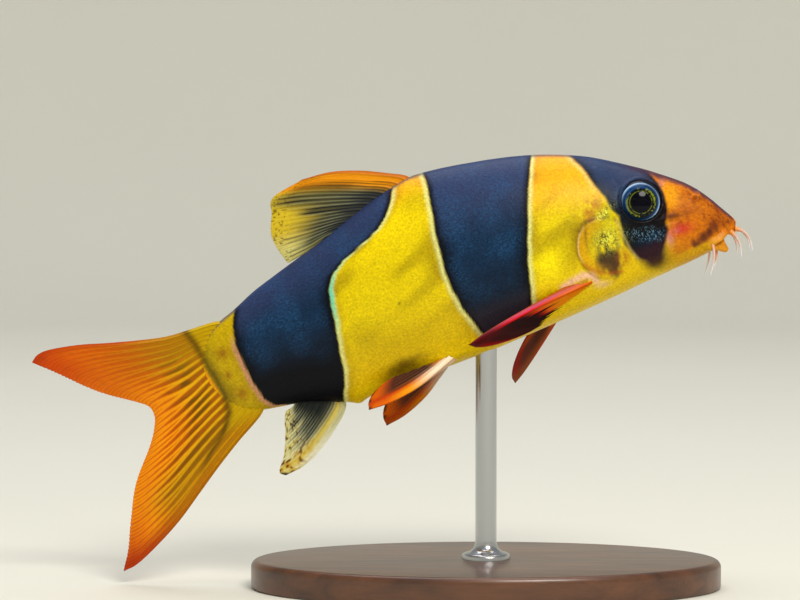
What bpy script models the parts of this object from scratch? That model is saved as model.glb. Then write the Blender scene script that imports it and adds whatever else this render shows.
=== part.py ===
"""A young clown loach, life size, swimming head-up on a plain display stand.

The fish is described in its own level frame, in millimetres: s runs back from the tip of the
snout, y to its left and z up. place() turns that into metres with the head along +X and bends the
tail, and an empty that carries every piece of the fish pitches it and lifts it over the stand.
The origin is in the middle of the stand's underside.
"""
import math

import bmesh
import bpy
import numpy as np
from mathutils import Matrix, Vector

# Sizes of the whole fish and its pose
MM = 0.001
PITCH = math.radians(22.0)
SWAY = 3.5
SWAY_START = 30.0
FISH_LENGTH = 99.2
GAP = 0.3

# Lines of the body: station behind the snout, then the height or the half width there
BACK_LINE = ((0, 1.7), (0.4, 2.9), (1, 4.0), (2, 5.9), (4, 8.8), (8, 12.4), (12, 15.4), (16, 18.0),
             (20, 19.9), (24, 21.4), (30, 23.0), (36, 24.2), (40, 24.6), (44, 24.0), (50, 22.4), (56, 20.6),
             (62, 19.1), (66, 18.0), (70, 16.5), (73, 15.5), (75.5, 13.8), (77, 11.4), (77.4, 8.8))
BELLY_LINE = ((0, 1.7), (0.4, 1.15), (1, 0.95), (2, 0.65), (2.8, 0.1), (3.6, -0.4), (5, -0.8), (8, -1.05),
              (14, -1.35), (22, -1.75), (30, -2.05), (38, -2.2), (46, -2.0), (54, -1.75), (58, -1.95),
              (60, -1.4), (63, -0.1), (66, 0.95), (69, 1.5), (72, 2.2), (74.5, 3.7), (76.6, 6.2),
              (77.4, 8.8))
HALF_WIDTH = ((0, 0), (0.4, 0.8), (1, 1.3), (2, 1.85), (4, 2.65), (7, 3.55), (11, 4.6), (16, 5.55),
              (22, 6.25), (30, 6.6), (38, 6.45), (46, 5.85), (54, 4.9), (62, 3.75), (68, 2.8), (72, 2.1),
              (75, 1.5), (76.8, 0.8), (77.4, 0))
WIDEST_AT = ((0, 0.5), (8, 0.46), (16, 0.42), (30, 0.42), (50, 0.45), (70, 0.5), (77.4, 0.5))
UPPER_FULLNESS = ((0, 2.0), (8, 1.9), (20, 1.85), (50, 1.9), (77.4, 2.0))
LOWER_FULLNESS = ((0, 2.0), (1.5, 2.6), (4, 3.2), (9, 2.8), (20, 2.35), (50, 2.1), (77.4, 2.0))
BODY_END = 77.4
SIDES = 36

# Where the body parts: the head along the gill opening, the tail stalk behind the vent
HEAD_CUT = ((21.1, 0.0), (22.9, 6.0))
TAIL_CUT = 59.2

# The eye, its socket rim and the gill cover
EYE_AT = (11.45, 9.55)
EYE_RADIUS = 3.15
EYE_DEPTH = 2.3
EYE_PROUD = 1.15
EYE_RIM = 3.2
EYE_RIM_THICK = 0.32
GILL_AT = (18.7, 5.6)
GILL_REACH = {"ahead": 2.6, "behind": 3.75, "above": 4.0, "below": 4.3}
GILL_LIFT = 0.55
GILL_DEPTH = 0.9
GILL_REAR = {"middle": 0.5, "swing": 0.75, "turn": 0.25, "sunk": 0.25}
EYE_SIDEWAYS = 0.8

# The mouth, under the snout: half width of the gape, where each arc crosses the middle and ends,
# how far it lies below the skin, and its thickness
GAPE = 2.25
UPPER_LIP = {"front": 0.9, "corner": 4.3, "drop": 0.12, "radius": 0.5}
LOWER_LIP = {"front": 3.2, "corner": 4.95, "drop": 0.22, "radius": 0.55}
MOUTH_LINE = {"front": 2.1, "corner": 4.65, "drop": 0.1, "radius": 0.3}
LOWER_LOBE_AT = (3.4, 0.72, -0.9)
LOWER_LOBE = (0.9, 0.7, 0.62)
LIP_TAPER = 0.4

# The nostrils: a short tube round a pit, with a small upright flap in front
NOSTRIL_AT = (4.3, 7.0)
NOSTRIL_TUBE = {"radius": 0.48, "out": 0.3, "into": 0.8}
NOSTRIL_PIT = {"radius": 0.24, "out": 1.0, "into": 0.35}
NOSTRIL_FLARE = (1.3, 1.15, 1.0)
NOSTRIL_FLAP_AT = (3.55, 7.35)
NOSTRIL_FLAP = (0.2, 0.42, 0.45)

# The fins: outlines in the plane of each blade, with a ray as a ridge at every second column
RAY_HEIGHT = 0.2
RAY_FADE = 0.7
MEMBRANE = 0.5
CAUDAL = {
    "rays": 19, "rows": 10, "root_thick": 1.0,
    "root": ((70.4, 15.2), (74.4, 13.4), (75.6, 11), (75.8, 8.8), (75.2, 6.4), (73.2, 4.2), (70.4, 2.9)),
    "lead": ((70.4, 15.2), (73, 16.0), (76, 16.25), (80, 16.6), (84, 17.6), (88, 18.8), (92, 20.1),
             (96, 21.0), (98, 21.0), (99.2, 20.3)),
    "margin": ((99.2, 20.3), (96, 16.9), (92, 12.9), (88, 9.9), (86.3, 8.5), (85.9, 7.3), (86.3, 5.8),
               (88, 3.3), (92, -1.0), (94.4, -5), (96.6, -9.2), (98.4, -12.0)),
    "trail": ((70.4, 2.9), (72, 1.3), (76, -0.8), (80, -3.1), (84, -5.6), (88, -8.1), (92, -10.1),
              (96, -11.7), (98.4, -12.0)),
}
DORSAL = {
    "rays": 11, "rows": 8, "root_thick": 0.95,
    "root": ((39.4, 23.7), (44, 23.3), (48, 22.3), (52.6, 20.9)),
    "lead": ((39.4, 23.7), (40.4, 25.0), (42.5, 26.2), (46, 28.0), (50, 29.4), (54, 29.9)),
    "margin": ((54, 29.9), (58.8, 29.1), (59.9, 26.9), (61.0, 24.4), (60.9, 22.0), (60.3, 19.8)),
    "trail": ((52.6, 20.9), (54, 21.1), (57, 20.25), (60.3, 19.8)),
}
ANAL = {
    "rays": 8, "rows": 8, "root_thick": 0.9,
    "root": ((59.8, -0.7), (62.6, 0.5), (66.4, 1.7)),
    "lead": ((59.8, -0.7), (60.6, -2.4), (63, -4.4), (66, -6.3), (69, -7.5), (71.8, -7.8)),
    "margin": ((71.8, -7.8), (72.5, -7.0), (71.0, -5.0), (69.8, -2.6), (69.0, -0.4), (68.4, 0.6)),
    "trail": ((66.4, 1.7), (67.2, 0.9), (68.4, 0.6)),
}
PECTORAL = {
    "rays": 12, "rows": 8, "root_thick": 1.0,
    "root": ((-0.9, 0.1), (-0.7, 1.2), (-0.4, 2.3)),
    "lead": ((-0.9, 0.1), (6, -0.3), (12, -0.2), (16, 0.4), (18.4, 1.3)),
    "margin": ((18.4, 1.3), (17.3, 3.1), (15, 4.8), (12, 5.9), (9.4, 6.0)),
    "trail": ((-0.4, 2.3), (3.5, 4.0), (6.5, 5.3), (9.4, 6.0)),
}
PELVIC = {
    "rays": 8, "rows": 8, "root_thick": 1.0,
    "root": ((-1.0, 0.0), (-0.6, 1.0), (-0.1, 2.0)),
    "lead": ((-1.0, 0.0), (3.5, -0.7), (7.5, -1.0), (11.5, -0.2), (14.3, 1.3)),
    "margin": ((14.3, 1.3), (13.5, 2.6), (12.0, 3.7), (10.0, 4.3)),
    "trail": ((-0.1, 2.0), (5.2, 3.7), (10.0, 4.3)),
}
# Poses of the paired fins: root on the flank, way along the leading ray, way across the rays,
# how far the middle of the blade arches, and how far its rays cup
PAIRED = {
    "pectoral_fin_right": (PECTORAL, (22.9, 2.3), -1, (18.2, -3.9, -1.5), (0.3, 4.2, -3.0), 0.0, 0.7),
    "pectoral_fin_left": (PECTORAL, (22.9, 2.3), 1, (13.5, 6.2, -11.1), (0.18, -0.94, 0.3), 0.1, 0.5),
    "pelvic_fin_right": (PELVIC, (43.6, -0.9), -1, (12.8, -5.0, -2.7), (0.2, 3.2, 1.5), 0.0, 0.4),
    "pelvic_fin_left": (PELVIC, (43.6, -0.9), 1, (12.0, 4.0, -6.9), (0.6, -2.6, 2.4), 0.0, 0.4),
}

# Barbels: root (s, y, z) in the lips, point at half length, tip, and the radius at the root
BARBELS = {
    "barbel_snout_front": ((0.5, 0.7, 0.85), (-0.7, 1.2, -0.55), (-0.5, 1.75, -2.8), 0.4),
    "barbel_snout_rear": ((1.3, 1.3, 0.75), (0.8, 2.2, -0.9), (1.4, 2.9, -3.0), 0.4),
    "barbel_mouth_corner": ((4.45, 2.3, 0.3), (4.85, 3.3, -1.4), (6.4, 4.0, -3.7), 0.42),
    "barbel_chin": ((4.2, 0.85, -1.0), (4.45, 1.15, -2.0), (5.3, 1.45, -2.9), 0.32),
}
BARBEL_TAPER = 0.62
BARBEL_KNOTS = 9

# The stand: an oval plate and a turned rod under the belly
TAIL_TIP = (98.4, -12.0)
TAIL_CLEARANCE = 1.8
ROD_STATION = 39.2
ROD_RADIUS = 1.5
ROD_INTO_BODY = 4.0
FOOT_RADIUS = 3.4
FOOT_HEIGHT = 2.0
FOOT_RIM = 0.8
COLLAR_THICK = 0.5
COLLAR_HEIGHT = 1.2
BASE_LENGTH = 66.0
BASE_WIDTH = 42.0
BASE_HEIGHT = 4.0
BASE_EDGE = 0.9
ROD_FOOT_Z = BASE_HEIGHT + GAP

# Materials: colour, roughness
SKIN_BLUE = ("skin_blue_black", (0.03, 0.045, 0.10), 0.35)
SKIN_YELLOW = ("skin_yellow", (0.85, 0.60, 0.03), 0.35)
SKIN_HEAD = ("skin_head", (0.72, 0.36, 0.04), 0.35)
FIN_ORANGE = ("fin_orange", (0.90, 0.30, 0.02), 0.40)
FIN_RED = ("fin_red", (0.45, 0.06, 0.02), 0.40)
FIN_DUSKY = ("fin_dusky", (0.45, 0.40, 0.16), 0.40)
EYE_DARK = ("eye_dark", (0.015, 0.02, 0.035), 0.08)
BARBEL_PALE = ("barbel_pale", (0.72, 0.62, 0.50), 0.45)
STAND_BASE = ("stand_walnut", (0.075, 0.035, 0.018), 0.35)
STAND_STEEL = ("stand_steel", (0.62, 0.63, 0.65), 0.25)


def through(points):
    """A smooth curve through (station, value) pairs that doesn't overshoot between them."""
    x = np.sqrt([p[0] for p in points])
    y = np.array([p[1] for p in points], float)
    rise = np.diff(y) / np.diff(x)
    grade = np.zeros(len(x))
    grade[0], grade[-1] = rise[0], rise[-1]
    same = rise[:-1] * rise[1:] > 0
    grade[1:-1][same] = 2 * rise[:-1][same] * rise[1:][same] / (rise[:-1] + rise[1:])[same]

    def value(station):
        u = np.sqrt(np.clip(station, 0, points[-1][0]))
        k = np.clip(np.searchsorted(x, u, side="right") - 1, 0, len(x) - 2)
        width = x[k + 1] - x[k]
        t = (u - x[k]) / width
        return ((1 + 2 * t) * (1 - t) ** 2 * y[k] + t * (1 - t) ** 2 * width * grade[k]
                + t * t * (3 - 2 * t) * y[k + 1] + t * t * (t - 1) * width * grade[k + 1])

    return value


back_at = through(BACK_LINE)
belly_at = through(BELLY_LINE)
half_width_at = through(HALF_WIDTH)
widest_at = through(WIDEST_AT)
upper_at = through(UPPER_FULLNESS)
lower_at = through(LOWER_FULLNESS)


def sway_at(s):
    """How far the tail has swung to the left at station s."""
    return SWAY * np.clip((s - SWAY_START) / (FISH_LENGTH - SWAY_START), 0, None) ** 2


def place(points):
    """Points of the level fish, (s, y, z) in millimetres, in the fish's own frame in metres."""
    s, y, z = np.asarray(points, float).reshape(-1, 3).T
    return np.column_stack([-s, y + sway_at(s), z]) * MM


def pitched(s, z):
    """Where a point of the middle plane goes when the fish pitches: ahead, and up."""
    return (-s * math.cos(PITCH) - z * math.sin(PITCH), -s * math.sin(PITCH) + z * math.cos(PITCH))


ROD_MEETS = pitched(ROD_STATION, float(belly_at(ROD_STATION)))
FISH_LIFT = Vector((-ROD_MEETS[0], -float(sway_at(ROD_STATION)), TAIL_CLEARANCE - pitched(*TAIL_TIP)[1]))
POSE = Matrix.Translation(FISH_LIFT * MM) @ Matrix.Rotation(-PITCH, 4, "Y")


def flank_y(s, z):
    """Half width of the body at station s and height z, so the skin is at plus and minus this."""
    low, high = belly_at(s), back_at(s)
    middle = low + (high - low) * widest_at(s)
    above = np.clip((z - middle) / (high - middle), 0, 1)
    below = np.clip((middle - z) / (middle - low), 0, 1)
    upper = (1 - above ** upper_at(s)) ** (1 / upper_at(s))
    lower = (1 - below ** lower_at(s)) ** (1 / lower_at(s))
    return half_width_at(s) * np.where(z > middle, upper, lower)


def flank_normal(s, z, side):
    """Outward direction of the skin of one flank, in the level frame."""
    step = 0.2
    along = (flank_y(s + step, z) - flank_y(s - step, z)) / (2 * step)
    up = (flank_y(s, z + step) - flank_y(s, z - step)) / (2 * step)
    return Vector((-along, side, -up)).normalized()


def underside(s, y):
    """Height of the skin under the body at station s, y to one side of the middle."""
    low, high = belly_at(s), back_at(s)
    middle = low + (high - low) * widest_at(s)
    out = np.clip(np.abs(y) / half_width_at(s), 0, 1)
    return middle - (middle - low) * (1 - out ** lower_at(s)) ** (1 / lower_at(s))


def section(s):
    """One ring of the body at station s, from the left flank over the back and round."""
    turn = np.linspace(0, 2 * math.pi, SIDES, endpoint=False)
    low, high = belly_at(s), back_at(s)
    middle = low + (high - low) * widest_at(s)
    power = np.where(np.sin(turn) >= 0, 2 / upper_at(s), 2 / lower_at(s))
    reach = np.where(np.sin(turn) >= 0, high - middle, middle - low)
    y = half_width_at(s) * np.sign(np.cos(turn)) * np.abs(np.cos(turn)) ** power
    z = middle + reach * np.sign(np.sin(turn)) * np.abs(np.sin(turn)) ** power
    return np.column_stack([np.full(SIDES, s), y, z])


def material(spec):
    name, colour, roughness = spec
    made = bpy.data.materials.get(name)
    if made is None:
        made = bpy.data.materials.new(name)
        made.use_nodes = True
        shader = made.node_tree.nodes["Principled BSDF"]
        shader.inputs["Base Color"].default_value = (*colour, 1)
        shader.inputs["Roughness"].default_value = roughness
        shader.inputs["Metallic"].default_value = 1.0 if name == "stand_steel" else 0.0
        made.diffuse_color = (*colour, 1)
    return made


def add_object(name, mesh, spec, collection):
    obj = bpy.data.objects.new(name, mesh)
    collection.objects.link(obj)
    mesh.materials.clear()
    mesh.materials.append(material(spec))
    mesh.shade_smooth()
    mesh.set_sharp_from_angle(angle=math.radians(35))
    return obj


def mesh_of(name, points, faces):
    """A mesh of level-frame points, placed."""
    mesh = bpy.data.meshes.new(name)
    mesh.from_pydata([tuple(p) for p in place(points)], [], faces)
    return mesh


def outward(mesh):
    """Turns every face of a closed mesh to point out."""
    work = bmesh.new()
    work.from_mesh(mesh)
    bmesh.ops.recalc_face_normals(work, faces=work.faces)
    if work.calc_volume(signed=True) < 0:
        bmesh.ops.reverse_faces(work, faces=work.faces)
    work.to_mesh(mesh)
    work.free()
    return mesh


def grow(mesh, distance):
    """Moves a mesh's surface out along its normals."""
    work = bmesh.new()
    work.from_mesh(mesh)
    work.normal_update()
    for vertex in work.verts:
        vertex.co += vertex.normal * distance
    work.to_mesh(mesh)
    work.free()
    return mesh


def largest_surface(mesh):
    """Keeps the closed surface with the most volume and drops every loose scrap."""
    work = bmesh.new()
    work.from_mesh(mesh)
    left = set(work.faces)
    best, most = set(), -1.0
    while left:
        seed = left.pop()
        island, edge_of_search = {seed}, [seed]
        while edge_of_search:
            for edge in edge_of_search.pop().edges:
                for face in edge.link_faces:
                    if face in left:
                        left.discard(face)
                        island.add(face)
                        edge_of_search.append(face)
        volume = abs(sum(f.calc_center_median().dot(f.normal) * f.calc_area() for f in island))
        if volume > most:
            best, most = island, volume
    bmesh.ops.delete(work, geom=[f for f in work.faces if f not in best], context="FACES")
    work.to_mesh(mesh)
    work.free()
    return mesh


def combine(mesh, others, operation):
    """The mesh joined with, or cut by, a list of closed meshes."""
    target = bpy.data.objects.new("combine_target", mesh)
    bpy.context.scene.collection.objects.link(target)
    group = bpy.data.collections.new("combine_with")
    tools = []
    for other in others:
        tool = bpy.data.objects.new("combine_tool", other)
        group.objects.link(tool)
        tools.append(tool)
    bpy.context.scene.collection.children.link(group)
    step = target.modifiers.new("join_or_cut", "BOOLEAN")
    step.operation = operation
    step.solver = "EXACT"
    step.operand_type = "COLLECTION"
    step.collection = group
    bpy.context.view_layer.update()
    seen = target.evaluated_get(bpy.context.evaluated_depsgraph_get())
    made = bpy.data.meshes.new_from_object(seen)
    for obj in [target, *tools]:
        bpy.data.objects.remove(obj)
    bpy.data.collections.remove(group)
    return largest_surface(made)


def body_stations():
    """Ring stations, close together at the snout, over the head and at the end of the tail."""
    snout = 3.0 * np.linspace(0.16, 1, 6) ** 2
    head = np.linspace(4.0, 24.0, 15)
    flank = np.linspace(26.5, 66.5, 15)
    stalk = BODY_END - 8.6 * np.linspace(0.95, 0.08, 7) ** 2
    return np.concatenate([snout, head, flank, stalk])


def body_mesh(name, swell=0.0):
    """The whole body from the snout to the end of the tail stalk as one closed surface."""
    rings = [section(s) for s in body_stations()]
    points = np.vstack([[(0, 0, BACK_LINE[0][1])], *rings, [(BODY_END, 0, BACK_LINE[-1][1])]])
    last = len(points) - 1
    faces = [(0, 1 + (k + 1) % SIDES, 1 + k) for k in range(SIDES)]
    for ring in range(len(rings) - 1):
        a, b = 1 + ring * SIDES, 1 + (ring + 1) * SIDES
        for k in range(SIDES):
            n = (k + 1) % SIDES
            faces.append((a + k, a + n, b + n, b + k))
    a = 1 + (len(rings) - 1) * SIDES
    faces += [(last, a + k, a + (k + 1) % SIDES) for k in range(SIDES)]
    mesh = outward(mesh_of(name, points, faces))
    return grow(mesh, swell * MM) if swell else mesh


def cut_off(mesh, point, normal):
    """Removes what lies on the side of a plane that its normal points to, and caps the cut."""
    work = bmesh.new()
    work.from_mesh(mesh)
    everything = work.verts[:] + work.edges[:] + work.faces[:]
    found = bmesh.ops.bisect_plane(work, geom=everything, dist=1e-7, plane_co=point, plane_no=normal,
                                   clear_outer=True)
    rim = [e for e in found["geom_cut"] if isinstance(e, bmesh.types.BMEdge)]
    bmesh.ops.edgeloop_fill(work, edges=rim)
    work.to_mesh(mesh)
    work.free()
    return outward(mesh)


def cut_plane(front, back_shift, low, high):
    """A plane across the body through two (s, z) points, moved back by back_shift."""
    a = Vector((-low[0] - back_shift, 0, low[1])) * MM
    b = Vector((-high[0] - back_shift, 0, high[1])) * MM
    normal = (b - a).cross(Vector((0, 1, 0))).normalized()
    if (normal.x > 0) != front:
        normal.negate()
    return a, normal


def bar(points, radii, sides=8, closed=False):
    """A bevelled curve along level-frame points, with its own radius at each, as a mesh."""
    curve = bpy.data.curves.new("bar", "CURVE")
    curve.dimensions = "3D"
    curve.bevel_depth = 1.0
    curve.bevel_resolution = sides // 2 - 2
    curve.use_fill_caps = not closed
    spline = curve.splines.new("POLY")
    spline.use_cyclic_u = closed
    spline.points.add(len(points) - 1)
    for knot, point, radius in zip(spline.points, points, radii):
        knot.co = (*point, 1)
        knot.radius = radius
    obj = bpy.data.objects.new("bar", curve)
    bpy.context.scene.collection.objects.link(obj)
    bpy.context.view_layer.update()
    mesh = bpy.data.meshes.new_from_object(obj.evaluated_get(bpy.context.evaluated_depsgraph_get()))
    bpy.data.objects.remove(obj)
    bpy.data.curves.remove(curve)
    work = bmesh.new()
    work.from_mesh(mesh)
    bmesh.ops.remove_doubles(work, verts=work.verts, dist=0.0001)
    for vertex, spot in zip(work.verts, place([v.co for v in work.verts])):
        vertex.co = spot
    work.to_mesh(mesh)
    work.free()
    return outward(mesh)


def ball(centre, radii, turn=None, segments=20, rings=12):
    """An ellipsoid at a level-frame point, with its own axes turned by a rotation."""
    work = bmesh.new()
    bmesh.ops.create_uvsphere(work, u_segments=segments, v_segments=rings, radius=1.0)
    turn = turn or Matrix.Identity(3)
    points = [Vector(centre) + turn @ Vector([v.co[k] * radii[k] for k in range(3)]) for v in work.verts]
    faces = [[v.index for v in f.verts] for f in work.faces]
    work.free()
    return outward(mesh_of("ball", points, faces))


def eye_axes(side):
    """Rotation whose z axis looks out of the eye, between square to the cheek and sideways."""
    out = (flank_normal(*EYE_AT, side) + Vector((0, side, 0)) * EYE_SIDEWAYS).normalized()
    along = Vector((1, 0, 0))
    across = out.cross(along).normalized()
    along = across.cross(out)
    return Matrix((along, across, out)).transposed()


def eye_centre(side):
    s, z = EYE_AT
    skin = Vector((s, side * float(flank_y(s, z)), z))
    return skin - eye_axes(side).col[2] * (EYE_DEPTH - EYE_PROUD)


def eye_mesh(side, swell=0.0, segments=28, rings=16):
    radii = (EYE_RADIUS + swell, EYE_RADIUS + swell, EYE_DEPTH + swell)
    return ball(eye_centre(side), radii, eye_axes(side), segments, rings)


def eye_rim(side):
    """The raised ring of skin round the socket, which follows the cheek."""
    turn = eye_axes(side)
    middle = eye_centre(side)
    loop = []
    for angle in np.linspace(0, 2 * math.pi, 24, endpoint=False):
        spot = middle + EYE_RIM * (math.cos(angle) * turn.col[0] + math.sin(angle) * turn.col[1])
        for _ in range(12):
            short = float(flank_y(spot.x, spot.z)) - side * spot.y
            spot = spot + turn.col[2] * short * 0.7
        loop.append(spot)
    return bar(loop, [EYE_RIM_THICK] * len(loop), 8, closed=True)


def gill_rim(angle):
    """Reach of the gill cover from its middle, longest behind."""
    s = math.cos(angle) * (GILL_REACH["behind"] if math.cos(angle) > 0 else GILL_REACH["ahead"])
    z = math.sin(angle) * (GILL_REACH["above"] if math.sin(angle) > 0 else GILL_REACH["below"])
    return s, z


def gill_cover(side):
    """A plate over the gills that stands proud of the flank along its rear edge."""
    around, rows = 28, 4
    outer, inner = [], []
    for row in range(1, rows + 1):
        share = row / rows
        for angle in np.linspace(0, 2 * math.pi, around, endpoint=False):
            ds, dz = gill_rim(angle)
            s, z = GILL_AT[0] + ds * share, GILL_AT[1] + dz * share
            skin = float(flank_y(s, z))
            rear = GILL_REAR["middle"] + GILL_REAR["swing"] * math.cos(angle - GILL_REAR["turn"])
            rear = min(1.0, max(0.0, rear))
            lift = GILL_LIFT * (rear * share - GILL_REAR["sunk"] * (1 - rear))
            outer.append((s, side * (skin + lift), z))
            inner.append((s, side * (skin - GILL_DEPTH), z))
    s, z = GILL_AT
    skin = float(flank_y(s, z))
    points = [(s, side * (skin + 0.05), z), (s, side * (skin - GILL_DEPTH), z), *outer, *inner]
    far = 2 + around * rows
    faces = []
    for k in range(around):
        n = (k + 1) % around
        faces.append((0, 2 + k, 2 + n))
        faces.append((1, far + n, far + k))
        for row in range(rows - 1):
            a, b = 2 + row * around, 2 + (row + 1) * around
            faces.append((a + k, b + k, b + n, a + n))
            a, b = far + row * around, far + (row + 1) * around
            faces.append((a + k, a + n, b + n, b + k))
        a = 2 + (rows - 1) * around
        b = far + (rows - 1) * around
        faces.append((a + k, b + k, b + n, a + n))
    return outward(mesh_of("gill_cover", points, faces))


def mouth_arc(spec, swell=0.0):
    """A crescent that runs from one corner of the mouth round the front to the other."""
    points, radii = [], []
    for share in np.linspace(-1, 1, 15):
        s = spec["front"] + (spec["corner"] - spec["front"]) * share ** 2
        y = GAPE * share
        points.append((s, y, float(underside(s, y)) - spec["drop"]))
        radii.append(spec["radius"] * (1 - LIP_TAPER * share ** 4) + swell)
    return bar(points, radii, 10)


def lip_lobes(swell=0.0):
    s, y, z = LOWER_LOBE_AT
    radii = [r + swell for r in LOWER_LOBE]
    return [ball((s, side * y, z), radii, segments=14, rings=8) for side in (-1, 1)]


def nostril(side, size):
    """A short tube along the skin's normal at the nostril."""
    s, z = NOSTRIL_AT
    normal = flank_normal(s, z, side)
    skin = Vector((s, side * float(flank_y(s, z)), z))
    ends = [skin - normal * size["into"], skin, skin + normal * size["out"]]
    return bar(ends, [size["radius"] * flare for flare in NOSTRIL_FLARE], 10)


def nostril_flap(side):
    """The small upright flap between the two openings of a nostril."""
    s, z = NOSTRIL_FLAP_AT
    skin = Vector((s, side * float(flank_y(s, z)), z))
    return ball(skin, NOSTRIL_FLAP, segments=10, rings=6)


def head_mesh():
    mesh = body_mesh("head")
    mesh = cut_off(mesh, *cut_plane(False, -GAP / 2, *HEAD_CUT))
    added = [mouth_arc(UPPER_LIP), mouth_arc(LOWER_LIP), *lip_lobes()]
    for side in (-1, 1):
        added += [eye_rim(side), gill_cover(side), nostril(side, NOSTRIL_TUBE), nostril_flap(side)]
    mesh = combine(mesh, added, "UNION")
    removed = [mouth_arc(MOUTH_LINE)]
    for side in (-1, 1):
        removed += [eye_mesh(side, GAP), nostril(side, NOSTRIL_PIT)]
    return combine(mesh, removed, "DIFFERENCE")


def trunk_mesh():
    mesh = body_mesh("trunk")
    mesh = cut_off(mesh, *cut_plane(True, GAP / 2, *HEAD_CUT))
    return cut_off(mesh, *cut_plane(False, -GAP / 2, (TAIL_CUT, 0), (TAIL_CUT, 10)))


def tail_stalk_mesh():
    mesh = body_mesh("tail_stalk")
    return cut_off(mesh, *cut_plane(True, GAP / 2, (TAIL_CUT, 0), (TAIL_CUT, 10)))


def clearance():
    """The flesh swollen by the gap, which trims the roots of what grows from it."""
    lips = [mouth_arc(UPPER_LIP, GAP), mouth_arc(LOWER_LIP, GAP), *lip_lobes(GAP)]
    return combine(body_mesh("clearance", GAP), lips, "UNION")


def curve_through(points, count):
    """Count points evenly along a smooth curve through a few, in any number of axes."""
    points = np.array(points, float)
    if len(points) == 2:
        return points[0] + (points[1] - points[0]) * np.linspace(0, 1, count)[:, None]
    ahead = np.vstack([2 * points[0] - points[1], points, 2 * points[-1] - points[-2]])
    fine = []
    for k in range(1, len(ahead) - 2):
        a, b, c, d = ahead[k - 1:k + 3]
        for t in np.linspace(0, 1, 12, endpoint=False):
            fine.append(0.5 * (2 * b + (c - a) * t + (2 * a - 5 * b + 4 * c - d) * t * t
                               + (3 * b - a - 3 * c + d) * t ** 3))
    fine = np.array([*fine, points[-1]])
    run = np.concatenate([[0], np.cumsum(np.linalg.norm(np.diff(fine, axis=0), axis=1))])
    at = np.linspace(0, run[-1], count)
    return np.column_stack([np.interp(at, run, axis) for axis in fine.T])


def fan(outline, columns, rows):
    """A grid of (row, column) points along straight rays, eased onto the fin's two curved sides."""
    root = curve_through(outline["root"], columns)
    margin = curve_through(outline["margin"], columns)
    lead = curve_through(outline["lead"], rows)
    trail = curve_through(outline["trail"], rows)
    u = np.linspace(0, 1, columns)[None, :, None]
    v = np.linspace(0, 1, rows)[:, None, None]
    lead_bulge = lead[:, None] - (1 - v) * root[0] - v * margin[0]
    trail_bulge = trail[:, None] - (1 - v) * root[-1] - v * margin[-1]
    return (1 - v) * root[None] + v * margin[None] + (1 - u) ** 2 * lead_bulge + u ** 2 * trail_bulge


def fin_mesh(name, grid, normal, thickness):
    """A closed fin from a grid of its mid surface, split alike on both faces."""
    rows, columns = grid.shape[:2]
    shift = normal * (thickness / 2)[..., None]
    points = np.vstack([(grid + shift).reshape(-1, 3), (grid - shift).reshape(-1, 3)])
    far = rows * columns
    faces = []
    for r in range(rows - 1):
        for c in range(columns - 1):
            a, b = r * columns + c, r * columns + c + 1
            d, e = a + columns, b + columns
            faces += [(a, b, e), (a, e, d), (far + e, far + b, far + a), (far + d, far + e, far + a)]
    rim = [(c, c + 1) for c in range(columns - 1)]
    rim += [(r * columns + columns - 1, (r + 1) * columns + columns - 1) for r in range(rows - 1)]
    rim += [(far - 1 - c, far - 2 - c) for c in range(columns - 1)]
    rim += [((rows - 1 - r) * columns, (rows - 2 - r) * columns) for r in range(rows - 1)]
    for a, b in rim:
        faces += [(b, a, far + a), (b, far + a, far + b)]
    return outward(mesh_of(name, points, faces))


def fin_thickness(spec, rows, columns):
    """A membrane with a ridge on both faces at every second column, all lower toward the margin."""
    v = np.linspace(0, 1, rows)[:, None]
    ray = np.where(np.arange(columns) % 2 == 1, 1.0, 0.0)[None, :]
    flesh = (spec["root_thick"] - MEMBRANE) * (1 - v) ** 2
    return MEMBRANE + flesh + 2 * RAY_HEIGHT * ray * (1 - RAY_FADE * v)


def median_fin(name, spec):
    """A fin in the middle plane: the dorsal, anal or caudal."""
    columns = 2 * spec["rays"] + 1
    flat = fan(spec, columns, spec["rows"])
    grid = np.stack([flat[..., 0], np.zeros(flat.shape[:2]), flat[..., 1]], axis=-1)
    return fin_mesh(name, grid, np.array([0.0, 1.0, 0.0]), fin_thickness(spec, spec["rows"], columns))


def paired_fin(name):
    spec, (s, z), side, reach, across, arch, cup = PAIRED[name]
    columns = 2 * spec["rays"] + 1
    flat = fan(spec, columns, spec["rows"])
    root = np.array([s, side * float(flank_y(s, z)), z])
    along = Vector(reach).normalized()
    sideways = Vector(across)
    sideways = (sideways - along * sideways.dot(along)).normalized()
    normal = along.cross(sideways)
    if normal.z < 0:
        normal.negate()
    a, b = flat[..., 0:1], flat[..., 1:2]
    length, width = spec["lead"][-1][0], spec["margin"][-1][1]
    run = np.clip(a / length, 0, 1)
    bow = 4 * arch * run * (1 - run) + cup * np.sin(run * math.pi / 2) * (b / width)
    grid = root + a * np.array(along) + b * np.array(sideways) + bow * np.array(normal)
    return fin_mesh(name, grid, np.array(normal), fin_thickness(spec, spec["rows"], columns))


def barbel(name, side):
    *stops, radius = BARBELS[name]
    root, middle, tip = np.array(stops) * (1, side, 1)
    t = np.linspace(0, 1, BARBEL_KNOTS)[:, None]
    points = root * (1 - t) * (1 - 2 * t) + middle * 4 * t * (1 - t) + tip * t * (2 * t - 1)
    radii = radius * (1 - BARBEL_TAPER * t[:, 0])
    return bar(points, radii, 8)


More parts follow.
